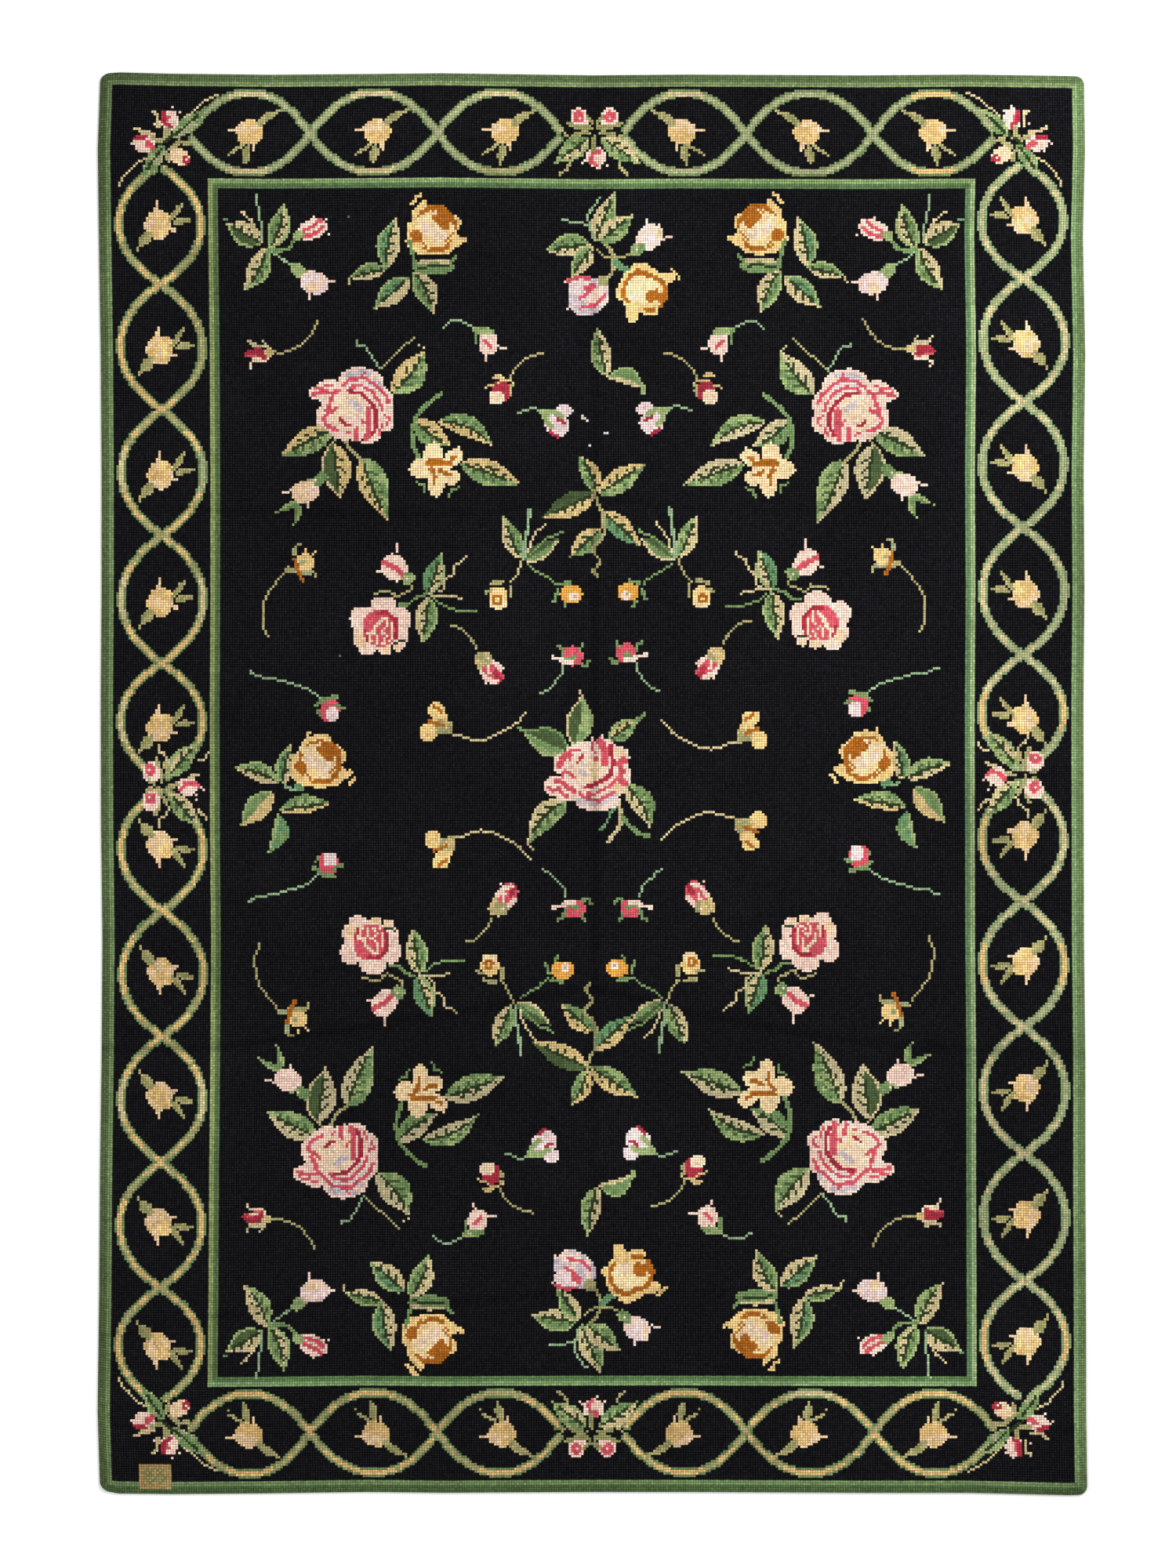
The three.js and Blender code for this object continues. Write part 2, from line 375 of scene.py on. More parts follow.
def centre_sprig(pen):
    pen.leaf((1, 219), (9, 238.5), "tan", "green/lime", (4, 4.5), rims=("", "lime"))
    pen.leaf((3, 219), (16.5, 229.5), "tan", "lime/green", (4, 4.5))
    pen.leaf((-1, 218), (-19, 215), "tan", "green", (3.5, 5), rims=("", "lime"))
    pen.leaf((0, 217), (-8.5, 204.5), "tan", "green", (3.5, 3.5), rims=("", "lime"))
    pen.strokes(
        "mist", (1, (0, 220), (-1, 225), (-2, 228), (-1, 231), (3, 236.5)),
        (1, (-1, 225), (-5, 226.5), (-12, 227.3)),
    )
    pen.strokes(
        "olive", (1, (2, 215), (4, 213), (8, 212), (12, 212), (15, 213.5)),
        (1.4, (4.5, 218), (7, 216), (8.5, 213), (8.7, 208), (7, 205)),
    )
    pen.petal("blush/pale", 23.3, 220.4, 11.6, 9.4, 40)
    pen.petal("peach", 27, 222, 2.6, 4.6)
    pen.petal("lime/green", 18.4, 215.7, 6.6, 4.6, 35)
    pen.dots("pale", (27, 225.2), (29, 219), (18.4, 215.6))
    pen.strokes("pale", (1, (22, 225.4), (22, 227.2)), (1, (30, 220), (32.2, 220)))
    pen.petal("lilac/pale", -1.5, 196.5, 17.5, 14, 35)
    pen.petal("blush", -5, 200.5, 10, 7, 20)
    pen.stroke("rose", (-9.5, 203), (-5, 204.5), (-1, 204), wide=1.6)
    pen.petal("rose", -1, 200.5, 5.5, 2.6, 30)
    pen.strokes(
        "rose", (1.4, (-5, 196), (-2.5, 197.5), (0, 200)),
        (1.4, (-5, 191.5), (-4, 192.5), (1, 193), (5, 197.5)),
    )
    pen.petal("olive", 4.5, 203, 5, 4.5, 45)
    pen.dots("pale", (-11, 202.5), (-9.5, 192.5), (-10, 191.5))
    pen.stroke("teal", (9.5, 210.5), (12, 208), (14.5, 207), wide=2.6)
    pen.petals(
        "yellow", (20.3, 199.5, 19, 18.5), (11.2, 197.6, 3.6, 5), (16.4, 190.8, 5, 9.5, -6),
        (19.6, 207.8, 8, 4.6), (23.4, 190.3, 7, 3.6), (28.4, 203.9, 10, 5),
    )
    pen.strokes("yellow", (1.4, (32.6, 204), (33, 206)), (1, (31.9, 207.5), (34, 205.2), (35, 203.8)))
    pen.petal("cream", 19.8, 199.4, 13.4, 12)
    pen.petal("ivory", 18.2, 196.4, 5, 3.6)
    pen.strokes(
        "brown", (1.7, (15, 204.4), (13.2, 201.6), (12.4, 198.8), (13, 195.8), (14.6, 194.4)),
        (2.1, (15.6, 205), (18.4, 206.6), (20.6, 206.2), (22.4, 205)),
        (1.9, (22.4, 205), (25.6, 204.2), (28.2, 202.4), (29.5, 199.8), (29.6, 196.6), (27.6, 193.2)),
    )
    pen.petal("brown", 25, 196.6, 7, 5.6, 20)
    pen.stroke("brown", (27, 196), (29, 197.4), wide=2)
    pen.dots("cream", (27.4, 198.4), (27, 199.4), (25, 194.4), (26.2, 194), (26.6, 193))
    pen.stroke("gold", (18, 194), (19.6, 192), (19, 190.4), wide=1.3)
    pen.stroke("brown", (21.6, 191.2), (25, 191.4), wide=1.8)


def small_red_bud(pen):
    pen.petals("crimson", (-136, 173.6, 8.5, 4, 8), (-133, 171.8, 4, 3.4))
    pen.strokes("rose", (1, (-139, 172.4), (-136, 172.6)), (1, (-135, 170.9), (-133, 170.9)))
    pen.strokes(
        "ivory", (1, (-137.2, 171.6), (-134.4, 171.6)),
        (1, (-138.3, 167.6), (-138.5, 168.7), (-137, 170), (-132, 170), (-131.2, 171.8)),
    )
    pen.strokes(
        "sand", (1.6, (-131.6, 176.4), (-136.5, 176.4)),
        (1, (-136.3, 177.3), (-138, 177.5), (-138.6, 178.7)),
    )
    pen.dots("sand", (-133.2, 178.7), (-132, 177.8))
    pen.petal("straw", -130.4, 174.1, 4, 3.6)
    pen.stroke(
        "olive", (-128, 174), (-125, 173.8), (-122, 174.8), (-120, 175.5), (-117, 177.4), (-114, 180.6),
        (-111, 186),
    )


def bell_bud(pen):
    pen.stroke("mist", (-60, 183.3), (-57, 186), (-53, 186.2), (-50, 184.8), (-48, 183.8))
    pen.petal("pale", -42, 177.3, 8, 9.5)
    pen.petal("green/lime", -44, 182.5, 9, 3.4, -8)
    pen.stroke("green", (-47, 182), (-47, 178), wide=1.5)
    pen.strokes("pale", (1, (-38, 176), (-35, 175.5)), (1, (-43, 173), (-43.5, 170.5)))
    pen.stroke("rose", (-43.5, 178.5), (-41, 176), wide=1.5)


def round_bud(pen):
    pen.stroke("olive", (-20, 173.5), (-24, 172.5), (-28, 170.5), (-32, 166.5), (-33.5, 163.5))
    pen.petal("crimson", -37, 158, 7.4, 7.8, 0, 3)
    pen.petal("ivory", -38.6, 155.6, 5.4, 5.6, 0, 4)
    pen.strokes(
        "straw", (1, (-40.5, 163.8), (-36, 163.8)), (1, (-39.5, 164.7), (-37, 164.7)),
        (1, (-38.4, 161.8), (-37.4, 162.5), (-34, 162.5), (-32.2, 161.5)),
        (1, (-42.6, 159.6), (-41.6, 160.6), (-39.6, 160.6)),
    )
    pen.dots("olive", (-33.4, 160.6), (-32.3, 160.6), (-33.5, 156.4))
    pen.stroke("olive", (-33, 158.8), (-33, 157.4), wide=1.8)


def pale_red_bud(pen):
    pen.stroke("mist", (-30, 149.7), (-27, 150.5), (-24, 151.8), (-20, 150))
    pen.petals("blush", (-11.5, 150.5, 7, 5.2), (-14.2, 145, 10, 9.5, -50))
    pen.strokes(
        "lime", (2.6, (-20, 149.5), (-16, 150), (-12.5, 148)),
        (2.2, (-19.5, 149), (-18.5, 146), (-16.5, 144)),
    )
    pen.strokes("crimson", (1.5, (-14, 147), (-11.5, 145.5)), (1.5, (-17, 142), (-14, 139.8)))


def big_rose(pen):
    pen.leaf((-105, 143), (-125.5, 132.7), "lime/green", "straw", (5, 5))
    pen.leaf((-105, 137), (-102, 115), "straw", "pine", (6, 6), rims=("", "tan"))
    pen.stroke("olive", (-103, 139), (-106, 136))
    pen.leaf((-93, 130.5), (-82.5, 106), "green/lime", "straw", (6.6, 4.6), -0.8, full=0.38)
    pen.stroke("olive", (-99.5, 138), (-98, 134.5), (-93, 130), wide=1.4)
    pen.leaf((-80.5, 157.5), (-67.5, 174.5), "straw", "green/lime", (5.4, 6), -1.2)
    pen.dots("tan", (-68.5, 175.5), (-69.6, 176.4))
    pen.stroke("mist", (-86, 167), (-88, 170), (-90, 173.5), (-92, 176.5), (-95, 176.5), (-95.3, 178))
    pen.stroke("olive", (-85, 167.5), (-82, 170.5), (-75, 177), (-72, 179.3))
    pen.petals(
        "pale", (-97, 149.5, 26, 23), (-93.5, 160.5, 19, 14.5, -8), (-106.5, 158, 11, 10, 20),
        (-111.3, 157.5, 7, 5.6), (-108.5, 148, 6, 9), (-84.8, 153, 9, 13), (-84.3, 146.3, 8.6, 9.5),
        (-91, 140.8, 12, 7),
    )
    pen.petal("lilac", -94.5, 164.8, 12, 3.4, 6)
    pen.petal("lilac/pale", -86.5, 160.2, 8, 3.6, -45)
    pen.petal("blush", -93, 160.3, 12, 3, -8)
    pen.petal("ivory", -98, 149.5, 15, 15, 20)
    pen.petal("lilac", -95.5, 152.5, 7, 2.6, -35)
    pen.petal("peach/pale", -96, 145.5, 9, 7)
    pen.strokes(
        "rose",
        (1.4, (-101.5, 160), (-98, 162.8), (-91.5, 163.5), (-88, 160.6), (-84, 157.4), (-82.3, 153.5)),
        (1.3, (-99.5, 158), (-97.5, 160), (-93, 160.3), (-89, 157.8), (-86, 154), (-84.8, 150.5)),
    )
    pen.strokes(
        "crimson",
        (1.6, (-97.8, 158), (-93.2, 157.2), (-89.5, 153.7), (-87.2, 150), (-87.2, 144.5), (-89, 140.5)),
        (1.2, (-101.8, 147), (-100, 145), (-98, 144.4)),
    )
    pen.strokes(
        "rose", (2.4, (-90.4, 151), (-90.4, 143.5), (-91.2, 139)),
        (1.6, (-102.5, 158.8), (-105, 156.9), (-106, 153), (-107.5, 150.5)),
        (1.6, (-113, 156.9), (-108, 158.2), (-105.1, 157.4)), (1, (-93, 163.5), (-92.4, 165.6)),
        (1, (-84.5, 148.5), (-82, 147.4), (-83, 144.6)), (1, (-85, 144), (-86.5, 140.5)),
        (1, (-112, 159.2), (-108.4, 160), (-105, 160.8)), (1, (-93.2, 146.6), (-92.4, 145)),
        (1.5, (-103.6, 151.3), (-106, 149.7), (-108.6, 147.4), (-107.4, 144.4), (-103, 142.4)),
        (1.9, (-95, 143.4), (-95.4, 139)), (1, (-99.5, 141.6), (-97.8, 141)),
    )
    pen.dots("ground", (-93.2, 138.2), (-98.4, 138.4), (-80.2, 150.3))


def big_rose_bud(pen):
    pen.petal("peach", -116, 117.6, 11.4, 9, 15)
    pen.petal("pale", -112.6, 118, 3.4, 6.5, -30)
    pen.petal("green", -109.9, 122.9, 6.4, 4.6, 40)
    pen.stroke("lime", (-115, 122.4), (-112.5, 121.8))
    pen.dots("pale", (-111.6, 122.3), (-122, 118.8))
    pen.strokes("pale", (1, (-125.4, 117.8), (-122.8, 117.8)), (1, (-115, 113), (-114.8, 111.2)))
    pen.leaf((-119.5, 113.6), (-127, 109.6), "green", "lime", (1.1, 1.1), rib="")
    pen.dots("lime", (-127.9, 109.1))
    pen.leaf((-118.8, 113), (-120.2, 104.8), "lime", "green", (1.3, 1.5), 0.3, rib="")
    pen.dots("lime", (-120.8, 104.1))


def lily(pen):
    pen.leaf((-72, 146.5), (-57, 136), "straw", "green", (4.5, 4.5), -1)
    pen.leaf((-62, 146), (-40, 136), "green/lime", "straw", (4.5, 3.5), 2.5)
    pen.leaf((-53, 129), (-29.5, 120.8), "straw", "green/lime", (5, 5))
    pen.strokes("rib", (1.2, (-46, 128.5), (-44, 126)), (1.2, (-41, 127), (-39, 124)))
    pen.stroke(
        "green", (-61, 156.7), (-64, 155), (-68, 151.5), (-71.5, 147.5), (-73, 142), (-72.5, 136),
        (-70.5, 131.5), wide=1.8,
    )
    pen.petals(
        "cream", (-64.2, 132, 8, 10.5), (-56, 131.2, 8.6, 6.4, 38), (-69, 126.8, 9.5, 8),
        (-63.2, 121, 6.6, 10.6), (-57.4, 123.4, 7.2, 6.2), (-63, 127, 12, 9),
    )
    pen.dots("cream", (-64.5, 137), (-53.6, 135), (-73.7, 126.8), (-63.5, 115.8))
    pen.strokes(
        "brown", (2.3, (-66, 129.7), (-57.6, 129.2)), (1.4, (-57, 130.9), (-54.8, 131.4)),
        (1, (-67.5, 128), (-66, 128.2)), (1.8, (-65.3, 126.8), (-64.2, 125.4), (-63.8, 123.6)),
        (1, (-63.6, 123), (-63.6, 120.6)), (1.7, (-61.4, 126), (-60, 124.8), (-57.2, 124.4)),
    )
    pen.strokes(
        "green", (1, (-71.3, 121.7), (-70.5, 120.8), (-68.4, 120.8), (-68.5, 118.8), (-67.6, 117.8)),
        (1, (-58.4, 115.2), (-57.6, 116), (-57.4, 118.1), (-55.4, 118.1), (-54.5, 119.1)),
    )


def leaf_star(pen):
    pen.leaf((1.5, 118), (-5.5, 132.5), "green/lime", "straw", (3.5, 3.5), -1)
    pen.leaf((2.5, 117), (21.5, 129), "straw", "green/lime", (4.5, 4.5))
    pen.leaf((1, 117), (-20.5, 107), "straw", "pine", (4.5, 4.5))
    pen.leaf((4, 110), (19.5, 96), "straw", "teal")
    pen.leaf((3, 102.5), (-9, 91.5), "green", "straw")
    pen.stroke(
        "olive", (1, 117), (3, 111), (4.5, 110), (4.7, 101), (3.5, 98), (0.5, 95.5), (0.5, 93), (3.5, 90),
        (1.5, 87), (0.3, 86), (2, 83.5), wide=1.3,
    )


def leaf_pair(pen):
    pen.leaf((6, 164.5), (2, 184), "green/lime", "tan", (4.3, 3.6), 0.5, rims=("lime", ""))
    pen.leaf((6.5, 164), (21, 159), "green", "tan", (5, 1.6), 1.5, rib="", rims=("lime", ""))
    pen.stroke("lime", (20, 161), (20.7, 158), wide=1.8)


def yellow_sprig(pen):
    pen.leaf((-29.5, 91), (-36, 107.5), "tan", "lime/green", (3.7, 3.8))
    pen.leaf((-27, 90), (-13.5, 98.5), "pine", "green", (3, 3.2), rib="", rims=("", "tan"))
    pen.stroke("mist", (-27.5, 91), (-27.5, 97), (-26.5, 100.5), (-25.3, 110.5), wide=1.4)
    pen.stroke("tan", (-26, 93), (-24.5, 98), (-22, 102), (-19.5, 104.5))
    pen.petal("yellow", -38, 74.8, 7.5, 8.5)
    pen.petal("cream", -38, 72, 6.5, 3.6)
    pen.petal("brown", -38.5, 74, 4.2, 4.2)
    pen.petal("yellow", -38.5, 74, 1.8, 1.8)
    pen.strokes(
        "olive", (1, (-28.5, 90), (-30.5, 84.5), (-33.5, 81)), (1.8, (-40.5, 80.5), (-36, 81.5)),
        (1.4, (-43, 77), (-40.5, 78)), (1.4, (-33, 79.5), (-33, 75.5)),
    )
    pen.strokes(
        "green", (1, (-25.5, 92), (-22.5, 95), (-18.5, 99), (-15, 100.3), (-12.5, 101.5)),
        (1, (-26, 88), (-22, 85), (-18, 83), (-14.5, 80)),
    )
    pen.petal("orange", -8.5, 76.5, 9, 7.2)
    pen.petal("pale", -7.5, 75.5, 3.8, 3.8)
    pen.dots("olive", (-7.5, 75.5))
    pen.strokes(
        "green", (1.6, (-13, 80.5), (-9, 81.2)), (1.4, (-14, 78), (-15.5, 73.5)),
        (1.2, (-11.5, 73), (-10.5, 71)),
    )


def small_yellow_bud(pen):
    pen.stroke("sage/olive", (-123, 86.4), (-118, 85.6), (-113.5, 85.5), wide=2.2)
    pen.petal("yellow", -116.2, 89.3, 7.6, 7, 0, 2)
    pen.petal("sage", -117.4, 89, 2.4, 1.8)
    pen.stroke("brown", (-120.3, 90.4), (-119.5, 87), (-117.3, 82), wide=1.7)
    pen.stroke("sage", (-120.5, 94.3), (-120.5, 92.2), wide=1.7)
    pen.strokes(
        "olive", (1, (-119.8, 95.6), (-118.8, 96.3), (-117.7, 96.3)), (1, (-112.3, 84.5), (-112, 83)),
        (1, (-124.5, 85), (-128.5, 80), (-131, 77), (-132.8, 73), (-133.5, 68), (-133.5, 64), (-131.5, 59)),
    )
    pen.dots("yellow", (-116, 94.4), (-116, 93.4), (-112, 93.4), (-113, 92.4))


def medium_rose(pen):
    pen.petals(
        "pale", (-84.5, 71, 11, 9), (-93.5, 66.5, 9, 10), (-77.5, 66, 8, 10), (-92.5, 59, 9, 9),
        (-78, 60, 7.5, 8), (-90.5, 55, 8, 6.5, 20), (-83.5, 55, 6.5, 5.5), (-78.5, 55.5, 5, 4.5),
        (-86, 63, 16, 17), (-80, 87, 9.5, 11.5, 40),
    )
    pen.petals("peach", (-93.5, 58, 5, 6), (-83.5, 54, 5, 3.4), (-79, 54.8, 3.4, 3))
    pen.stroke("ground", (-81, 53.6), (-81, 55.4))
    pen.stroke("rib", (-79.6, 56.8), (-76.2, 57.5))
    pen.petal("rose", -85.7, 62.6, 14.4, 14.6)
    pen.strokes(
        "crimson", (1.6, (-86.5, 68.6), (-83, 69), (-79.6, 66), (-78.9, 61.4), (-79.8, 58.6)),
        (1, (-91.6, 61), (-91, 57.4)),
    )
    pen.strokes(
        "ivory", (1.5, (-84.6, 66.8), (-88.2, 62.6), (-88.4, 60.6)), (1.5, (-90.4, 60.5), (-89.6, 57)),
        (1, (-86.6, 59.8), (-86.6, 56.8)), (1, (-82.7, 66.8), (-82.7, 63), (-83.6, 62)),
        (1, (-80.8, 64.2), (-80.8, 58.6)), (1, (-85.4, 61), (-84.2, 60)),
        (1, (-82.8, 59.2), (-83.7, 58.4), (-83.6, 56.8)),
    )
    pen.dots("ivory", (-81.8, 57.4), (-84.8, 56.6), (-88.4, 55.6))
    pen.stroke("rose", (-84.5, 89.3), (-80, 87), (-77, 84.3), wide=2.2)
    pen.strokes("pale", (1, (-79.5, 93), (-79.5, 96)), (1, (-84, 86), (-87, 85.5)))
    pen.petal("lime/green", -74.4, 82.6, 5.6, 5, 40)
    pen.dots("pale", (-75, 82.5))
    pen.stroke(
        "olive", (-73, 79.5), (-73, 78), (-77.5, 76), (-79, 75), (-80.5, 76), (-82, 77.8), (-85.5, 77.7),
        (-88.5, 76.5),
    )
    pen.leaf((-66.5, 76), (-61, 92.5), "teal", "tan", rims=("", "lime"))
    pen.leaf((-66, 75), (-68.5, 56.5), "green", "tan", (4.3, 4.2), rims=("lime", ""))
    pen.stroke("green", (-78, 72), (-74.5, 72), (-73, 73.5), (-71.5, 75), (-68, 76), wide=1.4)
    pen.strokes(
        "tan", (1, (-62, 77), (-60, 78.5), (-60, 82), (-56.5, 84), (-55.5, 88), (-53, 89.3), (-51.3, 91)),
        (1, (-66, 76), (-57, 75.7), (-53.5, 74.7)),
    )
    pen.stroke("green", (-64, 74), (-60.5, 71.7), (-55, 69.7), (-47.5, 69.7))


def pink_bud(pen):
    pen.stroke("olive", (-57.5, 63.7), (-55, 63.5), (-51, 60.7), (-49, 58.7), (-47, 54.5))
    pen.petal("rose", -41, 45, 12, 8, -50)
    pen.strokes(
        "pale", (2, (-45, 45), (-42, 41.8), (-39, 41)), (2, (-40, 49), (-37, 46.5)),
        (1.2, (-42.3, 47.5), (-41.5, 44.5)),
    )
    pen.stroke("crimson", (-39, 44.5), (-37.3, 41.5), wide=2)
    pen.petal("olive/straw", -44, 50.2, 8, 6)
    pen.stroke("straw", (-46.5, 49), (-45.5, 46.5), wide=1.8)
    pen.dots("pale", (-42.5, 50.5), (-43, 40), (-38.5, 41))


def small_red_flower(pen):
    pen.petal("rose", -8, 51.5, 8.5, 8)
    pen.petal("pale", -10.2, 49.4, 6.6, 3.4, -15)
    pen.stroke("pale", (-16.5, 51), (-12, 50), wide=1.4)
    pen.strokes(
        "green", (1.4, (-10.5, 50.5), (-7, 51)), (1.3, (-14.5, 56), (-12.5, 55), (-12, 52)),
        (1.3, (-5, 54), (-4, 56)), (1.3, (-4.5, 48), (-2.5, 47.5), (-1.5, 49.5)),
    )
    pen.stroke("mist", (-12, 47), (-12.3, 44), (-15.5, 40), (-19, 37), (-21, 36))


def long_stem_bud(pen):
    pen.stroke(
        "mist", (-138.5, 45), (-134, 43), (-128, 42.2), (-121, 40.2), (-115, 38.2), (-112, 36.3),
        (-110, 34.5),
    )
    pen.petal("rose", -106, 29.5, 8, 8.5, 0, 3)
    pen.petal("blush", -105, 28, 5, 5.4, 0, 5)
    pen.strokes(
        "green", (1.8, (-109, 34), (-103, 35)), (1.6, (-111.5, 31.5), (-109.5, 33)),
        (1.4, (-103.5, 31.8), (-100.5, 30.5)), (1.2, (-110.8, 29), (-110.2, 27.5)),
    )


def side_gold_rose(pen):
    pen.leaf((-125, 0), (-122, 15.5), "teal", "tan", (3.6, 3.2), 0.5, rims=("lime", ""))
    pen.leaf((-127, 0.5), (-144.5, 6.5), "tan", "green/lime", (3, 4.3), -1, rims=("", "lime"))
    pen.leaf((-129.5, -3.5), (-142, -17), "straw", "green", (4.6, 4.8), rib="", rims=("", "lime"))
    pen.leaf((-127, -12.5), (-131, -28), "green/teal", "lime", (4.6, 1.6), 1.4, rib="")
    pen.leaf((-126, -11), (-105.5, -8), "lime/green", "straw", (4.6, 2.4), 0.3)
    pen.stroke("mist", (-124, -1), (-121, -2.5), (-118, -2.3), wide=1.2)
    pen.petal("teal", -118.5, -1.5, 5, 3, -20)
    gold_rose(pen, -110, 7.8)
    pen.stroke("yellow", (-117.5, 13.5), (-115, 17.8), (-110.5, 19), (-106.5, 18.3), wide=2.2)
    pen.stroke("cream", (-119, 11), (-117.4, 14.5), wide=1.8)
    pen.strokes(
        "brown", (1.4, (-117.6, 12), (-118.2, 8.5), (-117.4, 4)),
        (1.7, (-102.8, 11), (-102.2, 7), (-103.4, 2.6)),
    )
    pen.strokes(
        "yellow", (2, (-103, 0.5), (-98, 4.5)), (1.4, (-115, 18), (-114.6, 20.4)),
        (1.4, (-98.5, -1), (-96, 2)),
    )


def yellow_pair(pen):
    pen.petals("yellow", (-61.5, 26.5, 6, 7.5, 20), (-63, 29.8, 7, 5.6))
    pen.petal("straw/olive", -60.5, 22.8, 7.4, 5.6, 0, 4)
    pen.petal("yellow", -66.2, 20.5, 6.8, 7)
    pen.strokes(
        "brown", (1.4, (-64, 31.2), (-62.5, 30.3), (-60.8, 29)),
        (1.6, (-65.5, 25), (-63, 24.3), (-60.5, 23.2)),
    )
    pen.stroke("olive", (-63, 20.2), (-57, 20))
    pen.stroke(
        "tan", (-56.5, 19.5), (-53, 19), (-50.5, 18), (-46.5, 17), (-42, 18), (-38, 20), (-34, 22),
        (-31, 24), (-27, 28.3),
    )


def central_rose(pen):
    pen.leaf((-7.5, 15.5), (-4, 36), "pine", "lime/green", (5.5, 5), -1, rib="", rims=("tan", "lime"))
    pen.dots("tan", (-5, 36.5), (-5, 37.3))
    pen.leaf((-9.5, 12.5), (-28, 21), "lime/green", "pine", (5, 6), rib="", rims=("lime", "green"))
    pen.stroke("green", (-27, 21), (-30, 22.5), wide=1.4)
    pen.leaf((6.5, 17.5), (18.5, 26), "straw", "lime/green", (3.6, 3.6), rims=("lime", ""))
    pen.stroke("green", (18, 25.5), (21, 28.3), wide=1.5)
    pen.leaf((13, -0.5), (23.5, -18), "lime/green", "tan", (5, 4), 2)
    pen.leaf((-11.5, -7), (-26, -24.5), "green/lime", "tan", (5, 4.6), -2, full=0.35)
    pen.dots("tan", (-25, -25.5), (-24, -26.5))
    pen.stroke("tan", (10.5, -7), (11.5, -11), (11.7, -16), (10, -19), (8, -21), (6.8, -23.5), wide=1.6)
    pen.stroke("green", (12, -13), (14, -16), (17, -18.5), (19, -20.5), (23, -21), wide=1.7)
    pen.stroke("teal", (10, -9.5), (8, -10.5), (7, -13), (5.5, -16), (4, -18), (2.5, -19), wide=1.3)
    pen.petals(
        "pale", (0, 5, 26, 22), (-1, 12.5, 20, 9), (5, 14.5, 9, 7), (11, 10.5, 8, 8.5), (12, 3, 7, 9),
        (-12, 8, 7.5, 8), (-13, -1, 13.5, 8.5), (-10.5, -5.3, 8, 4), (2, -6.5, 18, 9), (10, -1.5, 7, 7),
    )
    pen.petals("lilac", (6.5, -5.5, 12, 3.6, 30), (-2, -7.6, 9, 2.8, -10))
    pen.petals("peach", (10, -1.5, 6, 5), (11, 12, 5, 4, -30))
    pen.petal("ivory", -1.5, 5.2, 14, 10, 15)
    pen.petal("lilac/ivory", -3, 5.5, 4, 6, -20)
    pen.stroke("peach", (2, 9.5), (1.5, 2.5), wide=2)
    pen.stroke("cream", (0.3, 7), (-0.5, 1), wide=1.4)
    pen.dots("pale", (0, 18), (0.3, 17), (3.5, 19.5), (4, 18.5), (-5, 16.5))
    pen.strokes("rose", (3, (3, 17), (4.7, 14), (5, 8.5)), (1, (0, 16), (0.5, 12.7)))
    pen.strokes(
        "crimson", (1.6, (7.5, 15), (7.5, 12), (8.5, 9), (8, 6)),
        (2, (8, 6), (7, 3), (3, 0.8), (0, -0.8), (-2.2, -1.5)),
    )
    pen.petal("rose", 12.5, 9.3, 3.6, 3.2)
    pen.strokes(
        "rose", (2.4, (11, 8), (12, 5), (11, 2), (13, 0)), (2.4, (-10, 12), (-12, 10), (-13.5, 7)),
        (1.2, (-8.5, 13.5), (-5, 13.3)), (1.5, (-11, 5), (-9, 4), (-7.5, 2.5)), (1, (-8.5, 11.5), (-9, 9.5)),
        (1, (-12, 4.5), (-12, 2)), (2.1, (-14.5, 1), (-11.5, 0.3), (-9, -2), (-7, -3)),
        (1.5, (-18, -1.5), (-16, -3), (-13.5, -2), (-12, -4), (-10.5, -5)), (1.4, (0.5, 10), (2, 10.2)),
        (1.4, (-5, -3.5), (-3.5, -5.5), (0, -6.5), (3, -7), (5, -5.5), (9, -3.5)),
        (1.3, (-2, -4), (1, -4.3)), (1.4, (2, -3.5), (6, -1.5), (9, 1), (9.5, 2)),
    )
    pen.stroke("crimson", (-4, 11.5), (-5, 10), (-6, 8.5))


def border_bud(pen):
    """The bud inside each oval of the short borders, drawn about its middle."""
    pen.petal("gold", 0, -0.3, 11, 10, 15)
    pen.petal("buff/gold", -0.5, 2.3, 8, 5, 10)
    pen.petal("buff", -4, 1, 3.4, 4)
    pen.stroke("olive/moss", (4, 3.5), (6, 5.5), (8, 6.5), wide=3.2)
    pen.strokes("olive", (1.3, (8, 7), (10, 7.3), (12, 8.7)), (1.4, (-2.5, -5.5), (-5, -7), (-7.5, -8.5)))
    pen.stroke("buff", (-5.5, 0.3), (-8.5, 0.5), wide=1.3)
    pen.dots("olive", (-8.5, -10))
    pen.leaf((-0.5, -5.5), (-2, -13.5), "olive", "moss", (1.4, 1.4), rib="")
    pen.stroke("buff", (1.7, -5), (2, -7), wide=1.3)


def side_bud(pen):
    """The bud inside each oval of the long borders, drawn about its middle."""
    pen.petals("buff/gold", (0.2, 0.2, 9.8, 11.6), (-2, -1, 6, 8, 30))
    pen.petal("yellow/gold", 2.2, 3.2, 6, 5)
    pen.stroke("yellow", (1.4, -3), (3, 1.4), wide=1.6)
    pen.leaf((-2.5, -3), (-7.8, -8.8), "olive", "moss", (2, 2), rib="")
    pen.stroke("olive", (-8, -9), (-8.2, -10.2))
    pen.stroke("buff", (-0.6, 5.5), (-0.3, 9.2), wide=1.3)
    pen.leaf((5, 1.8), (10.4, 9.7), "moss", "olive", (0.9, 1), rib="")
    pen.leaf((6.2, 1), (14.2, 2.3), "olive", "moss", (1.2, 1), 0.3, rib="")
    pen.stroke("buff", (4.3, -1.6), (7, -1.8), wide=1.3)


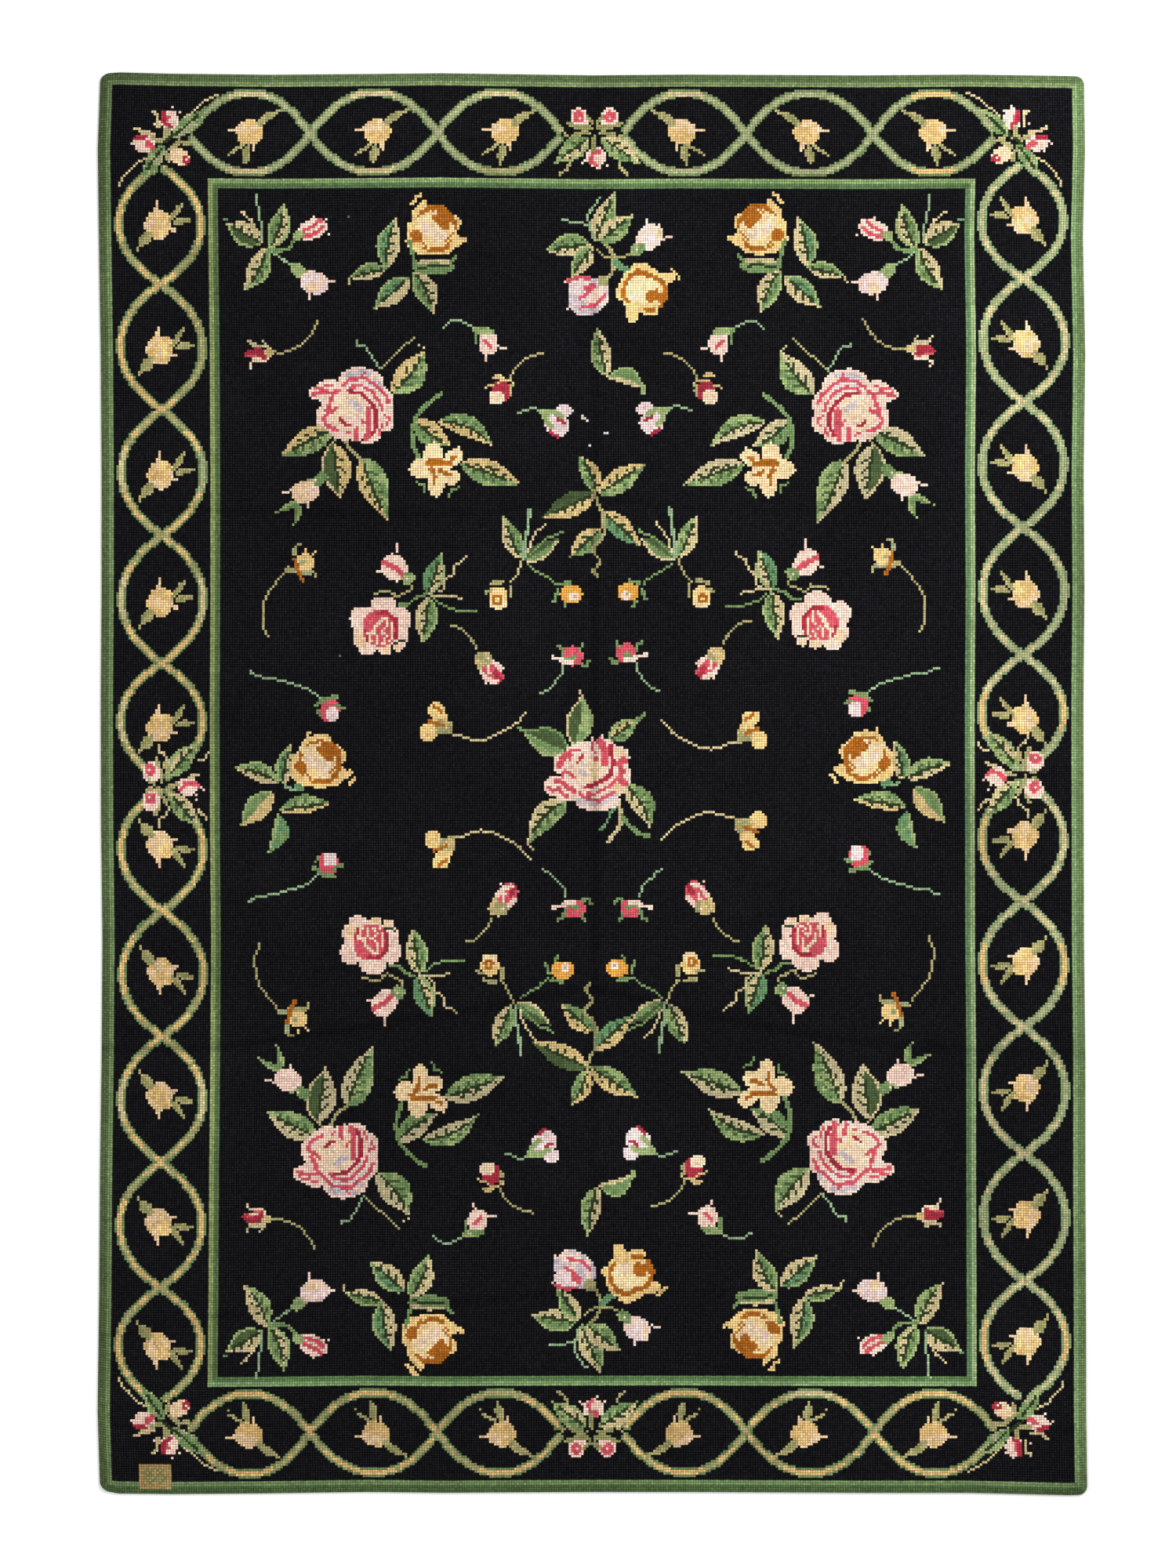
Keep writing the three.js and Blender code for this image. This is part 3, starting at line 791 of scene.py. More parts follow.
def ring_flower(pen, x, y):
    """A pale bud with a red ring."""
    pen.petal("pale", x, y, 8, 8, 0, 2.6)
    pen.petal("rose", x - 0.6, y + 1, 4.6, 4.6)
    pen.dots("pale", (x - 0.6, y + 1))


def top_cluster(pen):
    middle = 0.8
    pen.leaf((-1.5, 260.5), (-15, 250.5), "tan", "green/lime", rims=("lime", ""))
    pen.leaf((4, 260.5), (19, 250.5), "tan", "green/lime")
    for side in (-1, 1):

        def at(*places):
            return [(middle + side * dx, y) for dx, y in places]

        x = middle + side * 6
        pen.petal("pale", x, 268.3, 7, 9, side * -15)
        pen.petal("rose", x + side * 0.3, 269.3, 4.6, 4.6, 0)
        pen.dots("pale", (x, 268.8))
        pen.stroke("moss", *at((10.5, 266.3), (7, 265), (1.5, 264.8)), wide=1.7)
        pen.stroke("moss", *at((3, 269), (1, 267)), wide=1.7)
        pen.stroke("moss", *at((3.5, 263), (8, 261.6)), wide=1.9)
        pen.stroke("olive", *at((9.5, 260.5), (11.5, 261.5), (13.3, 264.5)))
        pen.stroke("olive", *at((10, 250), (11, 248), (13.5, 246)), wide=1.2)

    pen.dots("olive", (-1.3, 262), (1, 261), (2.5, 262))
    pen.petal("pale", 1.5, 253, 8.5, 7.5)
    pen.petal("rose", 2.3, 255, 3.4, 3)
    pen.stroke("rose", (0, 254), (-0.5, 251), (1.5, 249.5), wide=1.6)
    pen.stroke("moss", (0.7, 260), (0.7, 256), wide=2.2)
    pen.dots("pale", (-4, 250.3), (-3, 251), (3, 248), (2, 248.8), (6, 249.8), (5.2, 251))


def side_cluster(pen):
    pen.leaf((-171, 3), (-160, 16.5), "tan", "green/lime", (3.8, 3.8), rims=("lime", ""))
    pen.leaf((-170.5, -4), (-159.5, -17), "tan", "green/lime", (3.8, 3.8))
    ring_flower(pen, -178, 4.7)
    ring_flower(pen, -178, -6.8)
    pen.petal("pale", -163.5, -1.3, 8, 7.5)
    pen.stroke("rose", (-166.5, -2.5), (-164.5, -0.3), (-161, 0.5), (-159.3, -0.8), wide=1.9)
    pen.strokes(
        "olive", (1.6, (-176.3, 10), (-175, 6.5)), (1.6, (-179, 1), (-177, 0)),
        (1.6, (-180, -3), (-178, -1.8)), (1.7, (-174, 5), (-174, 1)), (1.7, (-175, -1.5), (-174, -5.5)),
        (1.6, (-173, -6), (-171.8, -8.5)), (1.5, (-176.5, -12), (-175, -9.5)),
        (1.8, (-170.5, -1), (-167.5, -0.3)),
    )
    pen.strokes(
        "tan", (1.5, (-163, 2.5), (-159.3, 3.7)),
        (1, (-175.5, 15), (-175, 12.5), (-173.5, 12), (-172, 10.5), (-171.3, 9), (-170.5, 7.5)),
        (1, (-159.5, 9), (-158, 9.5), (-156.5, 10.3), (-155.3, 12.5)),
        (1, (-171, -9.8), (-172, -12.5), (-174, -14), (-175.5, -15), (-175.5, -17.5)),
        (1, (-159.5, -10.5), (-158.5, -12), (-157, -12.5), (-155.7, -14.5)),
    )
    pen.dots("pale", (-158.5, -1.8), (-157.5, -3), (-160.5, -5), (-160, -6.5))
    pen.stroke("olive", (-172.5, 8), (-171.8, 4), wide=1.6)


def corner_cluster(pen):
    pen.leaf((-169, 260.5), (-156.5, 271.5), "lime/green", "sage/green", (2.6, 2.8), 0.4)
    pen.leaf((-172.5, 257), (-181, 244.5), "sage/green", "lime/green", (2.8, 2.6), -0.4)
    pen.petals("pale", (-170.6, 267.5, 7, 8.5), (-180.3, 258, 8.5, 7))
    pen.strokes(
        "crimson", (2.2, (-172.6, 270.5), (-173, 267), (-170.5, 264.5)),
        (2.2, (-183.5, 260), (-180.5, 260.5)),
    )
    pen.strokes("rose", (1.2, (-171, 269), (-171.5, 266.5)), (2.6, (-179, 257.8), (-177, 256.5)))
    pen.strokes(
        "tan", (1.4, (-177, 270.8), (-175.5, 270), (-175, 265)),
        (1.4, (-184, 264), (-181.5, 262.5), (-177, 262)),
    )
    pen.petal("peach", -166.2, 253, 8.5, 6.5, -35)
    pen.petal("crimson", -163.7, 251.4, 3.4, 3.4)
    pen.dots(
        "pale", (-169.8, 272.5), (-167, 270.5), (-177, 266), (-186, 257.5), (-185, 258.5), (-183, 254.7),
        (-163.7, 251.4),
    )
    pen.strokes(
        "olive", (2, (-177, 260), (-174.5, 259.5), (-171, 260)), (2, (-171.5, 264), (-171.5, 260.5)),
        (1.8, (-170, 256), (-167, 258)), (1.8, (-167, 259), (-163, 258.5)),
        (1.8, (-171.5, 254.5), (-170.5, 251)),
    )
    pen.stroke("rib", (-174, 257.5), (-169, 261.5), wide=1.2)
    pen.strokes(
        "tan", (1, (-165, 268.5), (-161, 272), (-157, 275.5), (-152, 278)),
        (1, (-180, 252), (-184, 250), (-187, 246.3), (-189.5, 244), (-190.5, 241)),
    )


# Where each motif is worked: its own place at the upper left, then upper right, lower left and lower right.
MOTIF_PLACES = (
    (corner_sprig, (-131.3, 214.7), (132.5, 214.7), (-131.1, -217.5), (131.8, -217)),
    (gold_spray, (-65.6, 224.2), (69.7, 225.1), (-67.2, -225.5), (67.7, -223.5)),
    (small_red_bud, (-135.1, 173.6), (133.2, 174.9), (-136, -175.2), (136.6, -173.9)),
    (bell_bud, (-41.2, 177.4), (50.1, 177.4), (-45.4, -176.4), (45.6, -175.2)),
    (round_bud, (-37.1, 158.5), (46, 158.8), (-40.9, -158.2), (40.9, -155.6)),
    (pale_red_bud, (-13.7, 145.2), (23.5, 146.1), (-18.8, -144.9), (17.8, -144)),
    (big_rose, (-96.5, 153.1), (105, 152.8), (-102.5, -152.8), (103.2, -151.2)),
    (big_rose_bud, (-114.8, 117.4), (124.6, 120.5), (-121.8, -119.3), (122.7, -117.4)),
    (lily, (-61.8, 126.2), (69.7, 126.2), (-68.1, -123.7), (68.7, -121.8)),
    (yellow_sprig, (-27, 97.8), (33, 98.4), (-30.5, -96.5), (28.6, -95.9)),
    (small_yellow_bud, (-117.1, 90.8), (118, 93.3), (-120.2, -96.5), (121.2, -93.7)),
    (medium_rose, (-86.1, 64.6), (92.4, 66.8), (-90.2, -66.2), (87.9, -64.9)),
    (pink_bud, (-40.3, 47.2), (46.3, 49.2), (-34.3, -47.5), (41.8, -46.9)),
    (small_red_flower, (-7.4, 52.6), (13.1, 53.8), (-6.5, -51.6), (14.7, -51.6)),
    (long_stem_bud, (-106, 29.9), (107.3, 31.8), (-106.9, -32.4), (107.6, -29.8)),
    (yellow_pair, (-64, 26.7), (65.3, 23.6), (-62.4, -28.6), (64.9, -21)),
    (side_gold_rose, (-109.8, 9.3), (110.1, 10.9)),
)

# Yarns that the copies of a motif have in place of its own.
COPY_SWAPS = {big_rose: {"straw": "sand"}, lily: {"straw": "sand"}, big_rose_bud: {"peach": "pale"}}

# The ovals between the two green lines, as the places along each side where they begin and end.
SHORT_OVALS = ((-162.5, -113.5), (-113.5, -62.3), (-62.3, -12), (12, 61.9), (61.9, 113.2), (113.2, 162.5))
LEFT_OVALS = (
    (249, 201.1), (201.1, 150.5), (150.5, 99.9), (99.9, 48.5), (48.5, 1.5),
    (-1.5, -51.3), (-51.3, -101.9), (-101.9, -152.4), (-152.4, -203), (-203, -249.5),
)
RIGHT_OVALS = (
    (250.5, 203.9), (203.9, 154), (154, 103.4), (103.4, 51.9), (51.9, 5),
    (2, -47.5), (-47.5, -98.1), (-98.1, -148.9), (-148.9, -200.2), (-200.2, -248.5),
)
OVAL_ROUNDNESS = 2.2
# The bands stop short of the end of a row by this share of an oval. They are worked in steps of this length.
END_TRIM = 0.03
BAND_STEP = 0.4
BAND_TONES = {"t": "tan", "g": "gold", "s": "sage", "o": "olive"}
# Each border's line, how far its bands swing out and in, the yarn of their slopes, a letter of BAND_TONES
# for the crest of each oval's outer and inner band, the yarn of the edges, and the ovals.
SHORT_BORDERS = (
    (262, 16.5, -15.5, "sage", "tttttotsssgg", "band_edge", SHORT_OVALS),
    (-261.6, -16.5, 15.8, "olive/gold", "gggggogggtgg", "band_edge", SHORT_OVALS),
)
LONG_BORDERS = (
    (-174, -16.4, 16.6, "gold/olive", "gggotstttgggggttgggg", "band_edge", LEFT_OVALS),
    (173.8, 16.6, -16.4, "sage/tan", "sstsssstggtgggstssgg", "band_edge_pale", RIGHT_OVALS),
)
# The buds inside the ovals: the line of each border, and the places along it.
BORDER_BUDS = (
    (263, (-137.6, -86.4, -35.2, 36.1, 86.4, 137.3)),
    (-262.8, (-137.9, -86.7, -36.2, 34.6, 85.4, 137)),
)
SIDE_BUDS = (
    (-174.9, (224.8, 174.3, 124, 72.8, 22.2, -24.5, -75.6, -125.6, -176.4, -226.4)),
    (174.9, (227.3, 177.4, 127.4, 76.3, 25.7, -20.7, -71.5, -122.1, -173.3, -224.2)),
)
# The crest of an oval's side is this share of its length, each way from its middle.
CREST = 0.17
BAND_EDGE_WIDTH = 3.5
BAND_MIDDLE_WIDTH = 2
# Where the clusters of small roses are worked at the corners.
CLUSTER_CORNERS = ((-170.5, 258.7), (169.8, 259.9), (-170.5, -257.7), (169.8, -258.3))
# The rows and columns of the small gold field, its plain margin and the step of its lattice.
PATCH_ROWS = slice(2, 12)
PATCH_COLUMNS = slice(16, 29)
PATCH_MARGIN = 2
LATTICE_STEP = 4


def oval_arc(start, end, base, bulge, trim_start, trim_end):
    """Points of one side of an oval: shares of its length, places along the border and places across it."""
    first = END_TRIM if trim_start else 0
    last = 1 - END_TRIM if trim_end else 1
    count = int(abs(end - start) / BAND_STEP)
    return [
        (share, start + (end - start) * share, base + bulge * (1 - abs(1 - 2 * share) ** OVAL_ROUNDNESS))
        for share in np.linspace(first, last, count)
    ]


def border_arcs(borders, across):
    """Each band of some borders as points x and y, each with the yarn of the band's middle and edge there."""
    for line, out, inward, slope, crests, edge, ovals in borders:
        starts, ends = zip(*ovals)
        for (start, end), pair in zip(ovals, zip(crests[::2], crests[1::2])):
            for bulge, crest in zip((out, inward), pair):
                arc = oval_arc(start, end, line, bulge, start not in ends, end not in starts)
                yield [
                    ((place, level) if across else (level, place))
                    + (BAND_TONES[crest] if abs(share - 0.5) < CREST else slope, edge)
                    for share, place, level in arc
                ]


def work_bands(pen):
    """The two interlaced bands of each border: first their green edges, and then their middles."""
    arcs = [*border_arcs(SHORT_BORDERS, True), *border_arcs(LONG_BORDERS, False)]
    for width, part in ((BAND_EDGE_WIDTH, 3), (BAND_MIDDLE_WIDTH, 2)):
        for arc in arcs:
            for here, there in zip(arc[::2], arc[2::2]):
                pen.bar(here[part], *here[:2], *there[:2], width / 2)


def work_green(sides, widths, greens):
    """A green band of two tones along the inside of four sides."""
    x, y = np.meshgrid(CELL_X, CELL_Y)
    left, right, bottom, top = sides
    gaps = (x + left, right - x, y + bottom, top - y)
    nearest = np.minimum.reduce(gaps)
    for gap, tones in zip(gaps, greens):
        for width, tone in zip(widths, reversed(tones)):
            CHART[(gap == nearest) & (gap > 0) & (gap < width)] = tone


def work_patch():
    """The small gold field in a corner, with a plain lattice of green."""
    patch = CHART[PATCH_ROWS, PATCH_COLUMNS]
    high, wide = patch.shape[:2]
    rows, columns = np.indices((high, wide))
    half = LATTICE_STEP // 2
    lattice = ((rows + columns) % LATTICE_STEP == half) | ((rows - columns) % LATTICE_STEP == half)
    lattice &= (rows >= PATCH_MARGIN) & (rows < high - PATCH_MARGIN)
    lattice &= (columns >= PATCH_MARGIN) & (columns < wide - PATCH_MARGIN)
    patch[:] = np.where(lattice[:, :, None], YARNS["band_edge"], YARNS["plain_patch"])


def work_borders(pen):
    """The green hem, the inner green line and the ovals with their buds."""
    work_green(HEM_SIDES, HEM_WIDTHS, HEM_GREENS)
    work_green(LINE_SIDES, LINE_WIDTHS, LINE_GREENS)
    work_bands(pen)
    for y, places in BORDER_BUDS:
        for x in places:
            border_bud(Pen((0, 0), (x, y), x > 0, y < 0))
    for x, places in SIDE_BUDS:
        for y in places:
            side_bud(Pen((0, 0), (x, y), x > 0, y < 0))
    top_cluster(Pen())
    top_cluster(Pen((0.8, 262), (-0.2, -261.3), False, True))
    side_cluster(Pen())
    side_cluster(Pen((-172, 1), (172.2, 5.4), True, False))
    for x, y in CLUSTER_CORNERS:
        corner_cluster(Pen((-171, 259), (x, y), x > 0, y < 0))
    work_patch()


def work_chart():
    """Everything in the order of working: what comes later covers what came before."""
    work_borders(Pen())
    for motif, home, *others in MOTIF_PLACES:
        motif(Pen(home))
        for at in others:
            motif(Pen(home, at, at[0] > 0, at[1] < 0, COPY_SWAPS.get(motif)))
    central_rose(Pen())
    centre_sprig(Pen())
    centre_sprig(Pen((3, 218), (-2.5, -217.5), False, True))
    leaf_star(Pen())
    leaf_star(Pen((3, 116.8), (-0.3, -114.3), False, True))
    leaf_pair(Pen())
    leaf_pair(Pen((4, 166), (0, -164.5), False, True))
    Pen().strokes("lint", (1, (-4.5, 148), (-2, 146.5)), (1, (5, 141.7), (6, 141.5)), (1, (-1, 136)))
    Pen().dots("dust", (-102, 51), (-98, 228))


work_chart()


def to_linear(colours):
    """Colours from 0 to 255 as a screen has them, as shares of light."""
    share = np.clip(colours / 255, 0, 1)
    return np.where(share <= 0.04045, share / 12.92, ((share + 0.055) / 1.055) ** 2.4)


# The rug's outline and relief, in millimetres, as its solid has them.
WIDTH = 1830
LENGTH = 2637
CLOTH_THICKNESS = 5
CORNER_RADIUS = 16
RIM_HEIGHT = 3.2
RIM_TUCK = 2.5
TUCK_HEIGHT = 0.9
RIM_PROFILE = {
    "inset": (0, 1.6, 6, CORNER_RADIUS, 25, 36),
    "height": (RIM_HEIGHT, 6.4, 7.4, 7.4, 6.9, CLOTH_THICKNESS),
}
RIM_DEPTH = 36
RIM_FADE = 70
LONG_EDGES = {
    "y": (-1318, -1170, -950, -730, -510, -290, -75, 145, 360, 580, 800, 1020, 1180, 1318),
    "left": (0, 4.5, 1.5, 0, -3, -4.5, -2, -1.5, -3, -3, -1.5, 2, 4, -1),
    "right": (5, 3, 2.5, 1.5, 1.5, -1, -1.5, -2, 0, -1.5, 1.5, -3, 1, -1),
}
SHORT_EDGES = {
    "x": (-915, -880, -780, -600, -420, -280, 0, 180, 500, 700, 880, 915),
    "top": (1, 3.5, 1, -1, 0.5, 2, -2, -0.5, -2, -0.5, -3, -4),
    "bottom": (-5, 1, 2, 0.5, -2, -0.5, -2, -2, -0.5, -0.5, 4, 3),
}
CROSS_CREASES = (
    {
        "x": (-915, -690, -400, -170, -20, 200, 915),
        "y": (512, 509, 498, 508, 536, 510, 508),
        "depth": (0.6, 0.9, 0.9, 1, 1.2, 0.5, 0.4),
    },
    {
        "x": (-915, -690, -474, -227, 0, 181, 356, 575, 915),
        "y": (-493, -489, -461, -420, -380, -426, -460, -490, -503),
        "depth": (1.1, 1.3, 1.6, 1.5, 1.6, 1.4, 1.4, 1.1, 0.8),
    },
    {
        "x": (-915, -560, -250, -30, 300, 915),
        "y": (-1030, -966, -966, -944, -952, -960),
        "depth": (0.5, 1, 1.2, 1, 0.4, 0.3),
    },
)
CENTRE_CREASE_X = 4
CENTRE_CREASE = {
    "y": (-1318, -850, -600, -380, 300, 700, 950, 1318),
    "depth": (0.3, 1.1, 0.9, 1.8, 1.6, 1.4, 0.6, 0.3),
}
CREASE_HALF_WIDTH = 13
# Painted shade: how much darker the chart is painted along the creases, for each millimetre of their depth.
CREASE_SHADE = 0.14
# How much single stitches differ in lightness: dark yarns, under this value, differ more. No stitch differs by
# more spreads than the limit.
DARK_YARN = 40
DARK_SPREAD = 0.12
LIGHT_SPREAD = 0.055
SPREAD_LIMIT = 2.2
# How much the skeins differ, and how often their patches are smoothed.
SKEIN_SPREAD = 0.05
SKEIN_PASSES = 40
# How much the dye drifts from place to place, and how many places there are along the rug and across it.
DRIFT_SPREAD = 0.045
DRIFT_PLACES = (14, 10)
# Painted light: how much lighter the wool is painted at the right than at the left, and at the top than at the
# bottom, as if lit more from there.
PAINTED_LIGHT_ACROSS = 0.08
PAINTED_LIGHT_ALONG = 0.05
# Low swells of the cloth: height, waves across and along the rug, and where they start.
SWELLS = ((0.35, 1.7, 0.6, 0.4), (0.3, -0.8, 2.3, 2.1), (0.2, 2.9, 3.4, 4.4))
UNDERSIDE_HEIGHT = 0.2
# How far the corners of stitches wander, on the flat and in height, and the values that scatter them.
STITCH_WANDER = 0.32
STITCH_RELIEF = 0.12
SCATTER = (12.9898, 78.233, 37.719)
SCATTER_SCALE = 43758.5453
# The margin of bare canvas that is turned under, in stitches.
MARGIN_STITCHES = 7
FLOOR_NAME = "floor"


def place_on_rug(x, y):
    """Where a point of the even rectangle lies once the corners are round and the edges wander."""
    core_x, core_y = WIDTH / 2 - CORNER_RADIUS, LENGTH / 2 - CORNER_RADIUS
    p = np.maximum(0, np.abs(x) - core_x) / CORNER_RADIUS
    q = np.maximum(0, np.abs(y) - core_y) / CORNER_RADIUS
    in_corner = (p > 0) & (q > 0)
    round_x = np.where(in_corner, np.sign(x) * (core_x + CORNER_RADIUS * p * np.sqrt(1 - q * q / 2)), x)
    round_y = np.where(in_corner, np.sign(y) * (core_y + CORNER_RADIUS * q * np.sqrt(1 - p * p / 2)), y)
    left = np.interp(y, LONG_EDGES["y"], LONG_EDGES["left"])
    right = np.interp(y, LONG_EDGES["y"], LONG_EDGES["right"])
    top = np.interp(x, SHORT_EDGES["x"], SHORT_EDGES["top"])
    bottom = np.interp(x, SHORT_EDGES["x"], SHORT_EDGES["bottom"])
    outward = np.where(x < 0, -left, right)
    endward = np.where(y < 0, -bottom, top)
    return (
        round_x + outward * np.abs(2 * round_x / WIDTH),
        round_y + endward * np.abs(2 * round_y / LENGTH),
    )


def crease_share(distance):
    """How much of a crease's depth there is at a distance from its middle."""
    return np.maximum(0, 1 - np.abs(distance) / CREASE_HALF_WIDTH)


def crease_depth(x, y):
    """How deep the fold lines are at a place, the three across the rug and the one along its middle."""
    across = sum(
        crease_share(y - np.interp(x, line["x"], line["y"])) * np.interp(x, line["x"], line["depth"])
        for line in CROSS_CREASES
    )
    along = np.interp(y, CENTRE_CREASE["y"], CENTRE_CREASE["depth"])
    return across + crease_share(x - CENTRE_CREASE_X) * along


def cloth_height(x, y):
    height = np.full(x.shape, float(CLOTH_THICKNESS))
    for swell, across, along, start in SWELLS:
        height += swell * np.sin(start + math.pi * (across * 2 * x / WIDTH + along * 2 * y / LENGTH))
    return height - crease_depth(x, y)


def shade_chart():
    """Each skein and stitch differs a little, the dye drifts along the rug, the creases are darker with painted
    shade, and painted light makes the wool lighter towards the right and the top.
    """
    draws = np.random.default_rng(LIGHTNESS_SEED)
    spread = np.where(CHART.mean(axis=2) < DARK_YARN, DARK_SPREAD, LIGHT_SPREAD)
    stitch = 1 + np.clip(draws.normal(0, 1, (ROWS, COLUMNS)), -SPREAD_LIMIT, SPREAD_LIMIT) * spread
    skein = 1 + SKEIN_SPREAD * smooth_noise((ROWS, COLUMNS), SKEIN_PASSES, BLOTCH_SEED + 1)
    drift = draws.normal(1, DRIFT_SPREAD, DRIFT_PLACES)
    for count, places in zip((ROWS, COLUMNS), DRIFT_PLACES):
        steps = np.linspace(0, places - 1, count)
        drift = np.array([np.interp(steps, np.arange(places), line) for line in drift.T])
    x, y = np.meshgrid(CELL_X / COLUMNS * WIDTH, CELL_Y / ROWS * LENGTH)
    # Painted shade along the creases.
    crease = CREASE_SHADE * crease_depth(x, y)
    # Painted light, lighter towards the right and the top.
    painted_light = 1 + PAINTED_LIGHT_ACROSS * x / WIDTH + PAINTED_LIGHT_ALONG * y / LENGTH
    CHART[:] = CHART * (stitch * skein * drift * painted_light * (1 - crease))[:, :, None]


def upper_height(x, y):
    inset = np.minimum(WIDTH / 2 - np.abs(x), LENGTH / 2 - np.abs(y))
    rim = np.interp(inset, RIM_PROFILE["inset"], RIM_PROFILE["height"])
    share = np.clip((inset - RIM_DEPTH) / RIM_FADE, 0, 1)
    return np.where(inset < RIM_DEPTH, rim, CLOTH_THICKNESS + share * (cloth_height(x, y) - CLOTH_THICKNESS))


def under_height(x, y):
    inset = np.minimum(WIDTH / 2 - np.abs(x), LENGTH / 2 - np.abs(y))
    return np.interp(inset, (0, RIM_TUCK / 2, RIM_TUCK), (RIM_HEIGHT, TUCK_HEIGHT, UNDERSIDE_HEIGHT))


# Extra lines in the outermost stitches, so that they bend round the rim, as shares of a stitch.
RIM_LINES = (0.14, 0.28, 0.54)


def stitch_lines(first, last, count):
    """The lines between stitches from first to last, with more of them in the rug's outermost stitches."""
    lines = list(range(first, last + 1))
    if first == 0:
        lines += list(RIM_LINES)
    if last == count:
        lines += [count - line for line in RIM_LINES]
    return np.array(sorted(lines), dtype=float)


def wander(lines_x, lines_y, salt):
    """A shift from -1 to 1 for each corner between stitches, the same in every tile that shares it."""
    seed = (lines_x * SCATTER[0] + lines_y * SCATTER[1] + salt * SCATTER[2]) % (2 * math.pi)
    value = np.sin(seed * 3 + salt) * SCATTER_SCALE
    return (value - np.floor(value)) * 2 - 1


def build_tile(name, columns, rows, under, material):
    """One open sheet of stitches, with a face or more for each."""
    lines_x = stitch_lines(*columns, COLUMNS)
    lines_y = stitch_lines(*rows, ROWS)
    u, v = np.meshgrid(lines_x, lines_y)
    x = (u / COLUMNS - 0.5) * WIDTH
    y = (v / ROWS - 0.5) * LENGTH
    z = under_height(x, y) if under else upper_height(x, y)
    place_x, place_y = place_on_rug(x, y)
    inner = (u > 1) & (u < COLUMNS - 1) & (v > 1) & (v < ROWS - 1)
    place_x = place_x + inner * STITCH_WANDER * wander(u, v, 1)
    place_y = place_y + inner * STITCH_WANDER * wander(u, v, 2)
    if not under:
        z = z + inner * STITCH_RELIEF * wander(u, v, 3)
    points = np.stack((place_x, place_y, z), axis=2).reshape(-1, 3) * MM

    across, along = len(lines_x), len(lines_y)
    index = np.arange(across * along).reshape(along, across)
    corners = [index[:-1, :-1], index[:-1, 1:], index[1:, 1:], index[1:, :-1]]
    if under:
        corners.reverse()
    faces = np.stack(corners, axis=2).reshape(-1, 4)
    mesh = bpy.data.meshes.new(name)
    mesh.from_pydata(points.tolist(), [], faces.tolist())

    middle_x = ((lines_x[:-1] + lines_x[1:]) / 2).astype(int)
    middle_y = ((lines_y[:-1] + lines_y[1:]) / 2).astype(int)
    colours = to_linear(CHART[np.ix_(middle_y, middle_x)])
    mask = np.ones(colours.shape[:2] + (1,))
    if under:
        inset_x = np.minimum(middle_x, COLUMNS - 1 - middle_x)
        inset_y = np.minimum(middle_y, ROWS - 1 - middle_y)
        inset = np.minimum(inset_x[None, :], inset_y[:, None])
        margin = (inset >= 1) & (inset < MARGIN_STITCHES)
        colours[margin] = to_linear(np.array(YARNS["canvas"], dtype=float))
        mask[margin] = 0
    yarn = np.concatenate((colours, mask), axis=2).reshape(-1, 4)
    attribute = mesh.color_attributes.new("Yarn", "FLOAT_COLOR", "CORNER")
    attribute.data.foreach_set("color", np.repeat(yarn, 4, axis=0).ravel())

    flat_u, flat_v = u.ravel()[faces].ravel(), v.ravel()[faces].ravel()
    share_u = (flat_u - columns[0]) / (columns[1] - columns[0])
    share_v = (flat_v - rows[0]) / (rows[1] - rows[0])
    for map_name, places in (("Stitch", (flat_u, flat_v)), ("OFBake", (share_u, share_v))):
        uv_map = mesh.uv_layers.new(name=map_name)
        uv_map.data.foreach_set("uv", np.stack(places, axis=1).ravel())

    mesh.materials.append(material)
    tile = bpy.data.objects.new(name, mesh)
    bpy.context.scene.collection.objects.link(tile)
    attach(tile, "root")
    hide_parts("rug")


# The wool's shine and the strength of its bumps.
WOOL_SPECULAR = 0.03
BUMP_STRENGTH = 0.9
# The cross stitches in front. The fibres have a scale and a detail, and other pairs a least and a most.
FRONT_PILLOW = 0.45
UPPER_STRAND_FALL = 1.6
LOWER_STRAND_FALL = 1.8
LOWER_STRAND_HEIGHT = 0.5
FRONT_BODY = (0.5, 1)
FRONT_FIBRES = (700, 3)
FRONT_FIBRE_HEIGHT = 0.16
FRONT_ROUGHNESS = (1, 0.86)
FRONT_DEPTH = 0.0011
# Yarn whose lightness times this limit is under 1 is dark. A stitch's shade is its body times a factor, plus a
# base, and never less than the least: darker gaps between stitches, partly their dark holes and partly painted
# shade, and a painted highlight on their raised tops, both stronger on dark yarn. Both pairs are for light yarn
# and for the darkest.
DARK_LIMIT = 20
SHADE_FACTOR = (0.92, 1.6)
SHADE_BASE = (0.26, -0.12)
SHADE_LEAST = 0.02
OWN_SHADE = (0.9, 1.1)
FIBRE_SHADE = (0.9, 1.1)
# The bars on the underside. Their shade darkens the colour between the bars, partly dark holes and partly
# painted shade.
BACK_PILLOW = 0.5
BACK_FIBRES = (500, 4)
BACK_FIBRE_HEIGHT = 0.35
BACK_SHADE = (0.4, 0.95)
BACK_OWN_SHADE = (0.82, 1.1)
BACK_FIBRE_SHADE = (0.8, 1.15)
BACK_ROUGHNESS = (1, 0.9)
BACK_DEPTH = 0.0009


